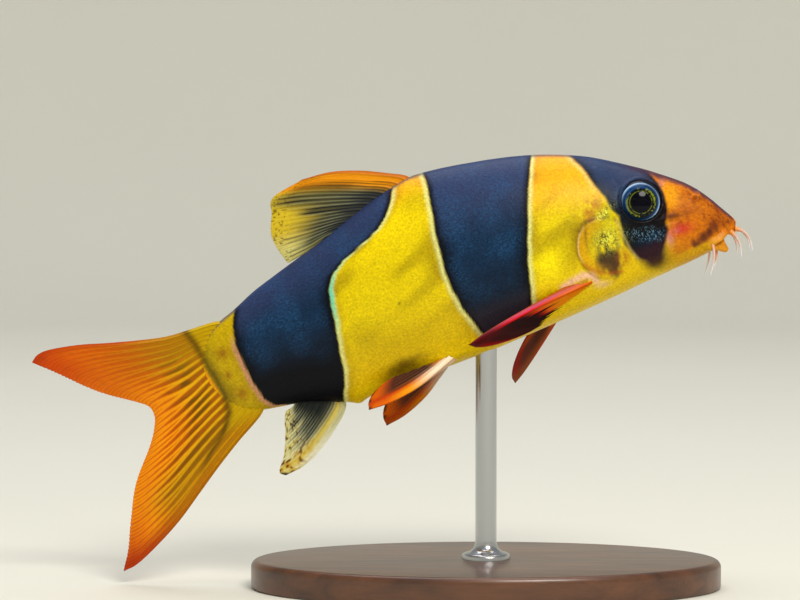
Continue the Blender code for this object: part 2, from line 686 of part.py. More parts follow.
def turned(name, profile, steps=28):
    """A turned shape: a profile of (radius, height) in millimetres swept round the z axis."""
    mesh = bpy.data.meshes.new(name)
    points = [(radius * MM, 0, height * MM) for radius, height in profile]
    mesh.from_pydata(points, [(k, k + 1) for k in range(len(points) - 1)], [])
    obj = bpy.data.objects.new(name, mesh)
    bpy.context.scene.collection.objects.link(obj)
    sweep = obj.modifiers.new("sweep", "SCREW")
    sweep.steps = steps
    sweep.render_steps = steps
    sweep.use_merge_vertices = True
    sweep.merge_threshold = 0.00001
    bpy.context.view_layer.update()
    made = bpy.data.meshes.new_from_object(obj.evaluated_get(bpy.context.evaluated_depsgraph_get()))
    bpy.data.objects.remove(obj)
    return outward(made)


def rod_mesh(cutters):
    top = FISH_LIFT.z + ROD_MEETS[1] + ROD_INTO_BODY
    foot = ROD_FOOT_Z
    profile = [(0, top), (ROD_RADIUS, top), (ROD_RADIUS, foot + FOOT_HEIGHT),
               (ROD_RADIUS + COLLAR_THICK, foot + COLLAR_HEIGHT), (FOOT_RADIUS, foot + FOOT_RIM),
               (FOOT_RADIUS, foot), (0, foot)]
    return combine(turned("stand_rod", profile), cutters, "DIFFERENCE")


def base_object(collection):
    bpy.ops.mesh.primitive_cylinder_add(vertices=56, radius=0.5, depth=1.0)
    obj = bpy.context.object
    obj.name = "stand_base"
    obj.data.transform(Matrix.Diagonal((BASE_LENGTH * MM, BASE_WIDTH * MM, BASE_HEIGHT * MM, 1)))
    obj.data.transform(Matrix.Translation((0, 0, BASE_HEIGHT * MM / 2)))
    for owner in list(obj.users_collection):
        owner.objects.unlink(obj)
    collection.objects.link(obj)
    obj.data.materials.append(material(STAND_BASE))
    edge = obj.modifiers.new("rounded_edge", "BEVEL")
    edge.width = BASE_EDGE * MM
    edge.segments = 2
    edge.limit_method = "ANGLE"
    edge.angle_limit = math.radians(40)
    obj.data.shade_smooth()
    obj.data.set_sharp_from_angle(angle=math.radians(35))
    return obj


def clearance_over_stand():
    """The swollen body where the pose puts it, which hollows the top of the rod to fit."""
    mesh = body_mesh("clearance", GAP)
    mesh.transform(POSE)
    return mesh


def build():
    for obj in list(bpy.data.objects):
        bpy.data.objects.remove(obj)
    model = bpy.data.collections.new("clown_loach")
    bpy.context.scene.collection.children.link(model)
    pose = bpy.data.objects.new("fish_pose", None)
    pose.matrix_world = POSE
    model.objects.link(pose)
    pieces = [("head", head_mesh(), SKIN_HEAD), ("trunk", trunk_mesh(), SKIN_YELLOW),
              ("tail_stalk", tail_stalk_mesh(), SKIN_BLUE)]
    for side, word in ((-1, "right"), (1, "left")):
        pieces.append(("eye_" + word, eye_mesh(side), EYE_DARK))
    fins = [("dorsal_fin", median_fin("dorsal_fin", DORSAL), FIN_ORANGE),
            ("anal_fin", median_fin("anal_fin", ANAL), FIN_DUSKY),
            ("caudal_fin", median_fin("caudal_fin", CAUDAL), FIN_ORANGE)]
    fins += [(name, paired_fin(name), FIN_RED) for name in PAIRED]
    for name, mesh, colour in fins:
        pieces.append((name, combine(mesh, [body_mesh("clearance", GAP)], "DIFFERENCE"), colour))
    for name in BARBELS:
        for side, word in ((-1, "right"), (1, "left")):
            trimmed = combine(barbel(name, side), [clearance()], "DIFFERENCE")
            pieces.append((name + "_" + word, trimmed, BARBEL_PALE))
    for name, mesh, colour in pieces:
        add_object(name, mesh, colour, model).parent = pose
    base_object(model)
    add_object("stand_rod", rod_mesh([clearance_over_stand()]), STAND_STEEL, model)


build()
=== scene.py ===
# Looks of a young clown loach, held swimming on a display stand.
# The fish is modelled level in millimetres: s runs back from the snout, y to its left and z up.
import math

import bpy
import numpy as np
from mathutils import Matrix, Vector


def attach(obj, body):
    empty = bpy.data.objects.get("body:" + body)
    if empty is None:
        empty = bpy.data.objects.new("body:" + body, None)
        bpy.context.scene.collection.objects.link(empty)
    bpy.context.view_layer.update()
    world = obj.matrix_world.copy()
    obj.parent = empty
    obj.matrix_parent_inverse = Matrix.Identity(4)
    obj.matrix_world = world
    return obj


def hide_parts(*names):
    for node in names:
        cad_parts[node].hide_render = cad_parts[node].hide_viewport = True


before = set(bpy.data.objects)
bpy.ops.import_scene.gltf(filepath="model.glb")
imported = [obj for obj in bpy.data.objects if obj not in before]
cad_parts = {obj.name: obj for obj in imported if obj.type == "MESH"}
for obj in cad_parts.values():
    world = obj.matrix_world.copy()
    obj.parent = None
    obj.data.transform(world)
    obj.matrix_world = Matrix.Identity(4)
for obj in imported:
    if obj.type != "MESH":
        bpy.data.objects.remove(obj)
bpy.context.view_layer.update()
fineness = 1.0
millimetre = 0.001

# Pose of the whole fish: pitch, swing of the tail, and where the stand holds it
pose = {"pitch": math.radians(22.0), "sway": 3.5, "swayStart": 30.0, "fishLength": 99.2,
        "rodStation": 39.2, "tailTip": (98.4, -12.0), "tailClearance": 1.8}

# Lines of the body: station behind the snout, then the height or the half width there
backLine = ((0, 1.7), (0.4, 2.9), (1, 4.0), (2, 5.9), (4, 8.8), (8, 12.4), (12, 15.4), (16, 18.0),
            (20, 19.9), (24, 21.4), (30, 23.0), (36, 24.2), (40, 24.6), (44, 24.0), (50, 22.4), (56, 20.6),
            (62, 19.1), (66, 18.0), (70, 16.5), (73, 15.5), (75.5, 13.8), (77, 11.4), (77.4, 8.8))
bellyLine = ((0, 1.7), (0.4, 1.15), (1, 0.95), (2, 0.65), (2.8, 0.1), (3.6, -0.4), (5, -0.8), (8, -1.05),
             (14, -1.35), (22, -1.75), (30, -2.05), (38, -2.2), (46, -2.0), (54, -1.75), (58, -1.95),
             (60, -1.4), (63, -0.1), (66, 0.95), (69, 1.5), (72, 2.2), (74.5, 3.7), (76.6, 6.2),
             (77.4, 8.8))
halfWidth = ((0, 0), (0.4, 0.8), (1, 1.3), (2, 1.85), (4, 2.65), (7, 3.55), (11, 4.6), (16, 5.55),
             (22, 6.25), (30, 6.6), (38, 6.45), (46, 5.85), (54, 4.9), (62, 3.75), (68, 2.8), (72, 2.1),
             (75, 1.5), (76.8, 0.8), (77.4, 0))
widestAt = ((0, 0.5), (8, 0.46), (16, 0.42), (30, 0.42), (50, 0.45), (70, 0.5), (77.4, 0.5))
upperFullness = ((0, 2.0), (8, 1.9), (20, 1.85), (50, 1.9), (77.4, 2.0))
lowerFullness = ((0, 2.0), (1.5, 2.6), (4, 3.2), (9, 2.8), (20, 2.35), (50, 2.1), (77.4, 2.0))
bodyEnd = 77.4


def through(points):
    # A smooth curve through (station, value) pairs that doesn't overshoot between them
    x = np.sqrt([p[0] for p in points])
    y = np.array([p[1] for p in points], float)
    rise = np.diff(y) / np.diff(x)
    grade = np.zeros(len(x))
    grade[0], grade[-1] = rise[0], rise[-1]
    same = rise[:-1] * rise[1:] > 0
    grade[1:-1][same] = 2 * rise[:-1][same] * rise[1:][same] / (rise[:-1] + rise[1:])[same]

    def value(station):
        u = np.sqrt(np.clip(station, 0, points[-1][0]))
        k = np.clip(np.searchsorted(x, u, side="right") - 1, 0, len(x) - 2)
        width = x[k + 1] - x[k]
        t = (u - x[k]) / width
        return ((1 + 2 * t) * (1 - t) ** 2 * y[k] + t * (1 - t) ** 2 * width * grade[k]
                + t * t * (3 - 2 * t) * y[k + 1] + t * t * (t - 1) * width * grade[k + 1])

    return value


backAt = through(backLine)
bellyAt = through(bellyLine)
halfWidthAt = through(halfWidth)
widestShare = through(widestAt)
upperAt = through(upperFullness)
lowerAt = through(lowerFullness)


def swayAt(s):
    behind = np.clip((s - pose["swayStart"]) / (pose["fishLength"] - pose["swayStart"]), 0, None)
    return pose["sway"] * behind ** 2


def pitched(s, z):
    sine, cosine = math.sin(pose["pitch"]), math.cos(pose["pitch"])
    return -s * cosine - z * sine, -s * sine + z * cosine


rodMeets = pitched(pose["rodStation"], float(bellyAt(pose["rodStation"])))
fishLift = np.array([-rodMeets[0], -float(swayAt(pose["rodStation"])),
                     pose["tailClearance"] - pitched(*pose["tailTip"])[1]])


def placed(points):
    # Level-fish points in millimetres, in the frame in metres
    s, y, z = np.asarray(points, float).reshape(-1, 3).T
    x, up = pitched(s, z)
    return (np.column_stack([x, y + swayAt(s), up]) + fishLift) * millimetre


def middleOf(s):
    return bellyAt(s) + (backAt(s) - bellyAt(s)) * widestShare(s)


def flankY(s, z):
    # Half width of the body at station s and height z
    low, high, middle = bellyAt(s), backAt(s), middleOf(s)
    above = np.clip((z - middle) / (high - middle), 0, 1)
    below = np.clip((middle - z) / (middle - low), 0, 1)
    upper = (1 - above ** upperAt(s)) ** (1 / upperAt(s))
    lower = (1 - below ** lowerAt(s)) ** (1 / lowerAt(s))
    return halfWidthAt(s) * np.where(z > middle, upper, lower)


def flankNormal(s, z, side):
    step = 0.2
    along = (flankY(s + step, z) - flankY(s - step, z)) / (2 * step)
    up = (flankY(s, z + step) - flankY(s, z - step)) / (2 * step)
    return Vector((-along, side, -up)).normalized()


def underside(s, y):
    # Height of the skin under the body, y to one side of the middle
    middle = middleOf(s)
    out = np.clip(np.abs(y) / halfWidthAt(s), 0, 1)
    return middle - (middle - bellyAt(s)) * (1 - out ** lowerAt(s)) ** (1 / lowerAt(s))


def fade(x, low, high):
    # From 0 at low to 1 at high, eased at both; low may be the larger
    t = np.clip((x - low) / (high - low), 0, 1)
    return t * t * (3 - 2 * t)


def bell(x, width):
    return np.exp(-(x / width) ** 2)


def noise(points, size, seed=0.0):
    # Smooth noise from 0 to 1, with blobs about size millimetres across
    spot = np.asarray(points, float) / size + seed * 17.31
    cell = np.floor(spot)
    t = spot - cell
    t = t * t * (3 - 2 * t)
    total = np.zeros(len(spot))
    for corner in range(8):
        step = np.array([corner & 1, corner >> 1 & 1, corner >> 2 & 1])
        wave = np.sin((cell + step) @ np.array([127.1, 311.7, 74.7])) * 43758.5453
        share = np.prod(np.where(step == 1, t, 1 - t), axis=1)
        total += share * (wave - np.floor(wave))
    return total


def nearness(points, path):
    # Distance from each point to a polyline, in two or three dimensions
    points, path = np.asarray(points, float), np.asarray(path, float)
    best = np.full(len(points), 1e9)
    for a, b in zip(path[:-1], path[1:]):
        run = b - a
        t = np.clip((points - a) @ run / (run @ run), 0, 1)
        best = np.minimum(best, np.linalg.norm(points - a - t[:, None] * run, axis=1))
    return best


def curveThrough(points, count):
    # Count points evenly along a smooth curve through a few
    points = np.array(points, float)
    if len(points) == 2:
        return points[0] + (points[1] - points[0]) * np.linspace(0, 1, count)[:, None]
    ahead = np.vstack([2 * points[0] - points[1], points, 2 * points[-1] - points[-2]])
    fine = []
    for k in range(1, len(ahead) - 2):
        a, b, c, d = ahead[k - 1:k + 3]
        for t in np.linspace(0, 1, 24, endpoint=False):
            fine.append(0.5 * (2 * b + (c - a) * t + (2 * a - 5 * b + 4 * c - d) * t * t
                               + (3 * b - a - 3 * c + d) * t ** 3))
    fine = np.array([*fine, points[-1]])
    run = np.concatenate([[0], np.cumsum(np.linalg.norm(np.diff(fine, axis=0), axis=1))])
    at = np.linspace(0, run[-1], count)
    return np.column_stack([np.interp(at, run, axis) for axis in fine.T])


# Colours are written as a painter would read them off a screen, 0 to 255
def linear(colour):
    share = np.array(colour, float) / 255
    return np.where(share <= 0.04045, share / 12.92, ((share + 0.055) / 1.055) ** 2.4)


def linears(tones):
    return {key: linear(value) for key, value in tones.items()}


def over(under, colour, mask):
    # A colour over another where the mask is 1
    mask = np.clip(mask, 0, 1)[:, None]
    return under * (1 - mask) + np.asarray(colour) * mask


def spot(s, z, at, reach, tilt=0.0):
    # Soft ellipse: 1 in its middle, 0.37 at its reach
    ds, dz = s - at[0], z - at[1]
    turn = math.radians(tilt)
    a = ds * math.cos(turn) + dz * math.sin(turn)
    b = -ds * math.sin(turn) + dz * math.cos(turn)
    return np.exp(-((a / reach[0]) ** 2 + (b / reach[1]) ** 2))


def stroke(points, path, width, shift=0.0):
    # Soft line along a path: 1 on it, 0.37 at its width
    return bell(nearness(points, path) + shift, width)


def together(*factors):
    # Product of amounts, where a tuple is a value with the two ends of its fade
    product = 1.0
    for factor in factors:
        product = product * (fade(*factor) if isinstance(factor, tuple) else factor)
    return product


class Coat:
    # The paint of one piece: a ground tone at every point, and layers over it
    def __init__(self, tones, ground, count):
        self.tones = tones
        self.colour = np.tile(tones[ground], (count, 1))

    def lay(self, tone, *factors):
        tone = self.tones[tone] if isinstance(tone, str) else tone
        self.colour = over(self.colour, tone, together(*factors))

    def spots(self, s, z, table):
        # Soft ellipses: the tone, strength, middle, reach and tilt of each
        for tone, strength, *shape in table:
            self.lay(tone, strength, spot(s, z, *shape))

    def done(self):
        return np.clip(self.colour, 0, 1)


# Shader maths with ordinary operators on sockets
class Amount:
    def __init__(self, tree, socket):
        self.tree = tree
        self.socket = socket

    def maths(self, operation, first, second):
        node = self.tree.nodes.new("ShaderNodeMath")
        node.operation = operation
        for entry, value in zip(node.inputs, (first, second)):
            join(self.tree, value, entry)
        return Amount(self.tree, node.outputs[0])

    def __add__(self, other):
        return self.maths("ADD", self, other)

    def __sub__(self, other):
        return self.maths("SUBTRACT", self, other)

    def __rsub__(self, other):
        return self.maths("SUBTRACT", other, self)

    def __mul__(self, other):
        return self.maths("MULTIPLY", self, other)

    def ramp(self, low, high):
        # 0 at low and 1 at high, held beyond them
        share = (self - low) * (1 / (high - low))
        share.socket.node.use_clamp = True
        return share

    __radd__ = __add__
    __rmul__ = __mul__


def join(tree, value, entry):
    # Links an amount or a socket to an input, or sets a plain value there
    if isinstance(value, Amount):
        value = value.socket
    if isinstance(value, bpy.types.NodeSocket):
        tree.links.new(value, entry)
    else:
        entry.default_value = value


def socketTone(colour):
    return colour if isinstance(colour, bpy.types.NodeSocket) else (*linear(colour), 1)


class Finish:
    # One material with a Principled shader, and a short way to add nodes to it
    def __init__(self, name, **constants):
        self.material = bpy.data.materials.new(name)
        self.material.use_nodes = True
        self.tree = self.material.node_tree
        self.shader = self.tree.nodes["Principled BSDF"]
        self.feed(**constants)

    def feed(self, **values):
        for key, value in values.items():
            entry = key.replace("_", " ").title().replace("Ior", "IOR")
            join(self.tree, value, self.shader.inputs[entry])

    def node(self, kind, settings, inputs):
        made = self.tree.nodes.new(kind)
        for key, value in settings.items():
            setattr(made, key, value)
        for key, value in inputs.items():
            join(self.tree, value, made.inputs[key])
        return made

    def attribute(self, name, output="Fac"):
        return self.node("ShaderNodeAttribute", {"attribute_name": name}, {}).outputs[output]

    def mask(self, name):
        return Amount(self.tree, self.attribute(name))

    def place(self, sizes):
        # The point in the piece's own space, stretched
        return self.scaled(self.node("ShaderNodeTexCoord", {}, {}).outputs["Object"], sizes)

    def scaled(self, vector, sizes):
        made = self.node("ShaderNodeVectorMath", {"operation": "MULTIPLY"}, {0: vector, 1: sizes})
        return made.outputs[0]

    def noise(self, vector, scale, detail=2.0, roughness=0.5, distortion=0.0):
        made = self.node("ShaderNodeTexNoise", {}, {"Vector": vector, "Scale": scale, "Detail": detail,
                                                    "Roughness": roughness, "Distortion": distortion})
        return Amount(self.tree, made.outputs["Fac"])

    def cells(self, vector, scale):
        made = self.node("ShaderNodeTexVoronoi", {}, {"Vector": vector, "Scale": scale})
        return Amount(self.tree, made.outputs["Distance"])

    def tinted(self, colour, shade):
        # A colour multiplied by a grey amount
        grey = self.node("ShaderNodeCombineColor", {}, {"Red": shade, "Green": shade, "Blue": shade})
        mixed = self.node("ShaderNodeMix", {"data_type": "RGBA", "blend_type": "MULTIPLY"},
                          {"Factor": 1.0, "A": socketTone(colour), "B": grey.outputs[0]})
        return mixed.outputs["Result"]

    def mixed(self, share, first, second):
        made = self.node("ShaderNodeMix", {"data_type": "RGBA"},
                         {"Factor": share, "A": socketTone(first), "B": socketTone(second)})
        return made.outputs["Result"]

    def bumped(self, height, strength, distance):
        made = self.node("ShaderNodeBump", {},
                         {"Height": height, "Strength": strength, "Distance": distance})
        self.feed(normal=made.outputs[0])


def meshObject(name, points, faces, finish):
    mesh = bpy.data.meshes.new(name)
    mesh.from_pydata(points, [], faces)
    mesh.shade_smooth()
    mesh.materials.append(finish.material)
    return linked(name, mesh)


def linked(name, data):
    made = bpy.data.objects.new(name, data)
    bpy.context.scene.collection.objects.link(made)
    return made


def addPiece(name, points, faces, finish, replaced, colour=None, extra=None):
    # A mesh piece from points in metres, with its painted colours and masks
    piece = meshObject(name, points.tolist(), faces, finish)
    if colour is not None:
        layer = piece.data.color_attributes.new("paint", "FLOAT_COLOR", "POINT")
        layer.data.foreach_set("color", np.column_stack([colour, np.ones(len(colour))]).ravel())
    for key, values in (extra or {}).items():
        kind, word = ("FLOAT_VECTOR", "vector") if values.ndim == 2 else ("FLOAT", "value")
        layer = piece.data.attributes.new(key, kind, "POINT")
        layer.data.foreach_set(word, np.ascontiguousarray(values).ravel())
    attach(piece, "root")
    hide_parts(*replaced)
    return piece


def turns(count):
    # Angles evenly round a circle
    return np.linspace(0, 2 * math.pi, count, endpoint=False)


def lathe(count, sides):
    # Faces between rings of equal size, with a point at either end
    faces = []
    for ring in range(count - 1):
        a, b = ring * sides, (ring + 1) * sides
        for k in range(sides):
            n = (k + 1) % sides
            faces.append((a + k, a + n, b + n, b + k))
    first, last, a = count * sides, count * sides + 1, (count - 1) * sides
    faces += [(first, (k + 1) % sides, k) for k in range(sides)]
    return faces + [(last, a + k, a + (k + 1) % sides) for k in range(sides)]


# Forms of the head that stand out of the plain body, as in the solids
eye = {"at": (11.45, 9.55), "radius": 3.15, "depth": 2.3, "proud": 1.15, "seen": 2.8,
       "rings": 110, "sides": 160}
gill = {"at": (18.7, 5.6), "ahead": 2.6, "behind": 3.75, "above": 4.0, "below": 4.3, "lift": 0.55}
mouth = {"gape": 2.25, "upper": (0.9, 4.3), "lower": (3.2, 4.95), "line": (2.1, 4.65), "lobe": (3.4, 0.72)}
nostril = {"at": (4.3, 7.0), "flap": (3.55, 7.35)}


def mouthArc(ends):
    share = np.linspace(-1, 1, 41)
    s = ends[0] + (ends[1] - ends[0]) * share ** 2
    y = mouth["gape"] * share
    return np.column_stack([s, y, underside(s, y)])


def gillShape(s, z):
    # How far out a point lies on the gill cover, from 0 at its middle to 1 at its rim, and how far behind
    ds, dz = s - gill["at"][0], z - gill["at"][1]
    ds = ds / np.where(ds > 0, gill["behind"], gill["ahead"])
    dz = dz / np.where(dz > 0, gill["above"], gill["below"])
    rear = np.clip(0.5 + 0.75 * np.cos(np.arctan2(dz, ds) - 0.25), 0, 1)
    return np.hypot(ds, dz), rear


def relief(points):
    # Height of the skin over the plain body, in millimetres
    s, y, z = points.T
    flat = points[:, [0, 2]]
    height = 0.05 * (noise(points, 5.0, 1) - 0.5) + 0.03 * (noise(points, 1.6, 2) - 0.5)
    share, rear = gillShape(s, z)
    cover = gill["lift"] * (rear * share - 0.25 * (1 - rear))
    height += 0.75 * np.clip(cover, 0, None) * fade(share, 1.05, 0.97)
    height -= 0.12 * stroke(flat, ((16.6, 10.6), (16.2, 7.5), (15.6, 5), (14.4, 3), (12.6, 1.4)), 0.3)
    height -= 0.10 * stroke(flat, ((8.0, 5.2), (10.4, 5.3), (13.0, 5.8)), 0.22)
    height += 0.10 * stroke(flat, ((8.0, 5.9), (10.4, 6.0), (13.4, 6.4)), 0.35)
    ring = np.hypot(s - eye["at"][0], z - eye["at"][1])
    height += 0.17 * bell(ring - eye["seen"] - 0.22, 0.17) + 0.14 * fade(ring, 5.0, 3.1)
    height -= 0.75 * fade(ring, 2.85, 2.45)
    hole = np.hypot(s - nostril["at"][0], z - nostril["at"][1])
    height += 0.16 * bell(hole - 0.42, 0.13) - 0.42 * bell(hole, 0.25)
    height += 0.36 * spot(s, z, nostril["flap"], (0.2, 0.42))
    near = s < 9
    close = points[near]
    lips = 0.62 * stroke(close, mouthArc(mouth["upper"]), 0.42)
    lips += 0.74 * stroke(close, mouthArc(mouth["lower"]), 0.45)
    for side in (-1, 1):
        lobe = spot(close[:, 0], close[:, 1], mouth["lobe"] * np.array([1, side]), (0.78, 0.52))
        lips += 0.85 * lobe * (close[:, 2] < 1.5)
    lips -= 0.5 * stroke(close, mouthArc(mouth["line"]), 0.24)
    height[near] += lips
    shoulder, hip = spot(s, z, (23.2, 2.4), (1.7, 0.9)), spot(s, z, (43.8, -0.9), (2.2, 0.8))
    vent = spot(s, y, (58.2, 0), (0.9, 0.8)) * (z < 2)
    return height + 0.35 * shoulder + 0.25 * hip + 0.3 * vent


# The markings: edges of the bands as (height, station) pairs, and the colours
edges = {
    "headFront": ((-1, 12.0), (0, 11.6), (1.2, 10.9), (2.7, 10.6), (4.5, 9.4), (5.7, 9.3), (7, 8.5),
                  (9, 8.2), (10.9, 8.3), (12.9, 8.9), (14, 9.4)),
    "headRear": ((-1, 12.4), (0.5, 13.9), (2.5, 15.1), (4.9, 15.9), (7.9, 15.4), (8.8, 15.2), (10, 15.8),
                 (12, 16.0), (14, 16.7), (16, 17.0), (19, 18.2)),
    "twoFront": ((0, 31.2), (2, 30.8), (4, 30.2), (7, 29.4), (10, 28.3), (13, 27.0), (15.5, 26.0),
                 (18, 24.8), (20.8, 23.2), (22, 22.6)),
    "twoRear": ((0, 38.5), (1, 38.9), (3, 39.4), (5, 40.0), (8, 40.3), (11, 40.3), (13, 40.0), (16, 39.6),
                (19, 38.9), (22, 38.3), (24.6, 38.0)),
    "threeFront": ((-2, 60.6), (0, 59.8), (1, 59.2), (3, 58.5), (6, 58.0), (8, 57.5), (10, 57.0),
                   (12, 56.8), (14.3, 56.2), (16, 55.0), (17.2, 53.0), (18.3, 50.0), (19.4, 47.0),
                   (20.8, 45.0), (22.5, 43.6), (24, 42.8)),
    "threeRear": ((0, 66.5), (1.5, 68.0), (2, 69.5), (3.5, 70.5), (6, 71.0), (9, 71.2), (12, 71.3),
                  (14.5, 70.8), (16.3, 69.8), (18, 69.0)),
}
tones = {
    "yellow": (224, 198, 2), "yellowLow": (228, 192, 4), "yellowLit": (255, 224, 2),
    "orangeTop": (250, 166, 4), "olive": (132, 104, 2), "bandDeep": (3, 5, 12), "bandBlue": (18, 48, 80),
    "slateHighlight": (50, 60, 98), "cream": (222, 228, 150), "turquoise": (96, 214, 178),
    "mauve": (196, 130, 122), "beforeBand": (112, 66, 10), "snout": (204, 112, 6),
    "snoutDark": (136, 58, 14), "crown": (56, 34, 60), "cheekRed": (204, 52, 40),
    "cheekPink": (204, 132, 128), "cheekOrange": (196, 116, 6), "brown": (74, 30, 22),
    "jaw": (200, 148, 3), "underEye": (5, 3, 8), "goldGreen": (188, 184, 20), "purple": (46, 20, 30),
    "cheekTop": (242, 160, 14), "fleshPink": (238, 186, 158), "blotch": (136, 72, 8),
    "stalk": (84, 66, 6), "lip": (216, 138, 34), "ridge": (190, 168, 100), "rusty": (168, 84, 20),
    "umber": (70, 44, 6), "coverGold": (212, 156, 4), "rosy": (232, 190, 150), "coverDark": (112, 92, 14),
    "nape": (62, 66, 104), "yellowStalk": (196, 164, 3), "bandTip": (60, 53, 64), "lemon": (255, 236, 4),
}
tones = linears(tones)
# Soft spots of the cheek, laid in this order: tone, strength, middle, reach and tilt
cheekSpots = (
    # The first pink spot, on the upper snout edge in front of the eye, is painted highlight
    ("cheekPink", 0.45, (8.0, 10.6), (1.3, 0.45), -38),
    ("cheekOrange", 0.95, (8.7, 1.5), (1.5, 1.2)),
    ("cheekPink", 0.75, (9.7, 3.3), (0.55, 0.95), 10),
    ("cheekRed", 0.85, (7.7, 3.8), (1.7, 0.8), 8),
    ("cheekPink", 0.35, (8.4, 3.9), (0.5, 0.4)),
    ("brown", 0.85, (8.4, 6.0), (1.7, 0.45), 14),
    # The umber spot low under the cheek is painted shadow
    ("umber", 0.45, (11.2, 0.3), (3.0, 0.9)),
    ("snoutDark", 0.6, (2.9, 2.7), (1.5, 0.8)),
)


def edgeAt(name, z):
    heights, stations = np.array(edges[name], float).T
    return np.interp(z, heights, stations)


def stalkLine(z):
    # Where the flesh of the tail ends and the bare rays begin
    return np.interp(z, (-4, -1, 1, 3.3, 6.3, 10.3, 14.3, 17),
                     (84, 80.6, 77.7, 75.9, 75.4, 76.1, 76.7, 77.5))


def paintSkin(points):
    # Colours of the skin, and masks of the finer flecks that the shader adds
    s, y, z = points.T
    flat = points[:, [0, 2]]
    wander = 0.5 * (noise(points, 1.3, 3) - 0.5) + 0.25 * (noise(points, 0.5, 4) - 0.5)
    blotchy = noise(points, 2.6, 6)
    streaky = noise(points * (1.0, 1.0, 0.45), 0.55, 5)
    rise = (z - bellyAt(s)) / np.maximum(backAt(s) - bellyAt(s), 0.5)

    # Yellow ground, deeper toward the back and mottled with olive; the lighter upper flank is painted
    # highlight
    coat = Coat(tones, "yellow", len(s))
    lay = coat.lay
    lay("yellowLow", (rise, 0.5, 0.08))
    # Painted highlight: the upper flank is laid lighter yellow, as lit from above
    lay("yellowLit", 0.8, (rise, 0.6, 0.95))
    lay("orangeTop", 0.8, (rise, 0.86, 1.0), (s, 14, 18))
    lay("orangeTop", 0.8, (rise, 0.55, 0.85), (s, 32, 26))
    lay("lemon", 0.7, spot(s, z, (27, 6.5), (3, 2.5)))
    lay("olive", 0.3, spot(s, z, (50, 4), (7, 2.6)))
    clouds = noise(points * (0.5, 1.0, 1.0) + np.outer(s, (0, 0, 0.35)), 2.2, 12)
    lay("olive", 0.5, (clouds, 0.4, 0.95), (rise, 0.1, 0.4))
    lay("yellowStalk", (s, 66, 70))
    dusk = spot(s, z, (50.7, 0.3), (3.9, 1.6), -4) + 0.3 * (blotchy - 0.5) + 0.25 * (streaky - 0.5)
    lay("umber", 0.85, (dusk, 0.1, 1.1))
    lay("bandDeep", 0.8, bell(np.hypot(s - 47.8, z - 8.9), 0.22))

    # Snout, cheek and throat
    ahead = fade(s, 12.0, 8.0)
    lay("snout", ahead, (z, -0.5, 1.4))
    lay("snoutDark", 0.6, ahead, (streaky, 0.4, 0.85), (z, 2, 4.5))
    lay("snoutDark", 0.75, (s, 4.8, 1.4), (z, 1.3, 2.4), 0.5 + 0.5 * streaky)
    lay("snoutDark", 0.45, spot(s, z, (5.8, 6.0), (1.6, 0.7), 40))
    # Bright orange in front of the eye: its own colour with painted highlight
    lay("cheekTop", 0.85, (spot(s, z, (7.9, 8.7), (2.3, 2.2), -30), 0.2, 0.9))
    coat.spots(s, z, cheekSpots)
    patch = spot(s, z, (5.0, 1.6), (2.5, 1.0), -17) + 0.6 * (streaky - 0.5)
    lay("brown", 0.9, (patch, 0.2, 0.85))
    lay("jaw", (z, 0.95, 0.25), (s, 13, 8), (s, 1.2, 2.2))
    lay("lip", 0.8, (z, 1.25, 0.75), (s, 5.2, 3.6))

    # Gold and green on the gill cover, with a dark purple patch under it and a dark line over it
    glow = spot(s, z, (17.9, 6.4), (1.7, 1.35), 10)
    lay("coverDark", 0.85, glow, (streaky, 0.15, 0.5))
    shade = spot(s, z, (18.6, 3.5), (1.7, 2.2), 22)
    murk = shade + 0.7 * (streaky - 0.5) + 0.4 * (blotchy - 0.5)
    lay("purple", 0.95, (murk, 0.08, 0.85), (shade, 0.05, 0.25))
    top = stroke(flat, ((15.9, 8.6), (16.7, 9.4), (18.3, 9.7), (20.0, 9.6), (21.1, 8.9)), 0.36,
                 0.8 * wander)
    lay("brown", 0.8, top, (streaky, 0.1, 0.5))
    lay("rusty", 0.8, spot(s, z, (18.4, 11.2), (2.0, 1.3), -20), (streaky, 0.25, 0.7))
    lay("goldGreen", 0.5, spot(s, z, (16.6, 9.0), (0.8, 2.0), 10))
    lay("rusty", 0.7, spot(s, z, (16.6, 3.2), (0.9, 1.2), 20), (streaky, 0.2, 0.6))
    share, rear = gillShape(s, z)
    # Painted shade: an olive streak just behind the rim of the gill cover
    lay("olive", 0.65, spot(s, z, (21.6, 8.6), (0.9, 2.4), 20))
    lay("coverGold", 0.75, (share, 1.02, 0.96), (share, 0.45, 0.75), rear ** 2)
    broken = fade(noise(points, 1.3, 13), 0.1, 0.5)
    inner = stroke(flat, ((19.9, 9.4), (20.3, 8.6), (20.7, 7.6), (20.9, 6.4), (20.8, 5.4)), 0.24,
                   0.4 * wander)
    lay("brown", 0.6, inner, broken, (z, 5.0, 7.5))
    rim = stroke(flat, ((20.4, 9.2), (21.4, 8.3), (22.0, 7.2), (22.35, 6.0), (22.2, 4.8), (21.6, 3.7)),
                 0.08)
    lay("rosy", 0.75, rim, broken, (z, 4.0, 6.0))
    under = stroke(flat, ((22.2, 4.4), (21.4, 3.3), (20.4, 2.5), (19.2, 1.9), (17.6, 1.5)), 0.3,
                   0.5 * wander)
    lay("rusty", 0.6, under, broken)
    fold = stroke(flat, ((26.0, 2.5), (24.6, 2.9), (22.8, 3.1), (21.7, 2.6), (21.4, 1.6)), 0.42,
                  0.3 * wander)
    lay("fleshPink", 0.9, fold)
    lay("rusty", 0.7, stroke(flat, ((24.6, 2.2), (22.6, 2.3)), 0.25))
    lay("rosy", 0.6, spot(s, z, (20.7, 0.8), (1.0, 0.45), 10))

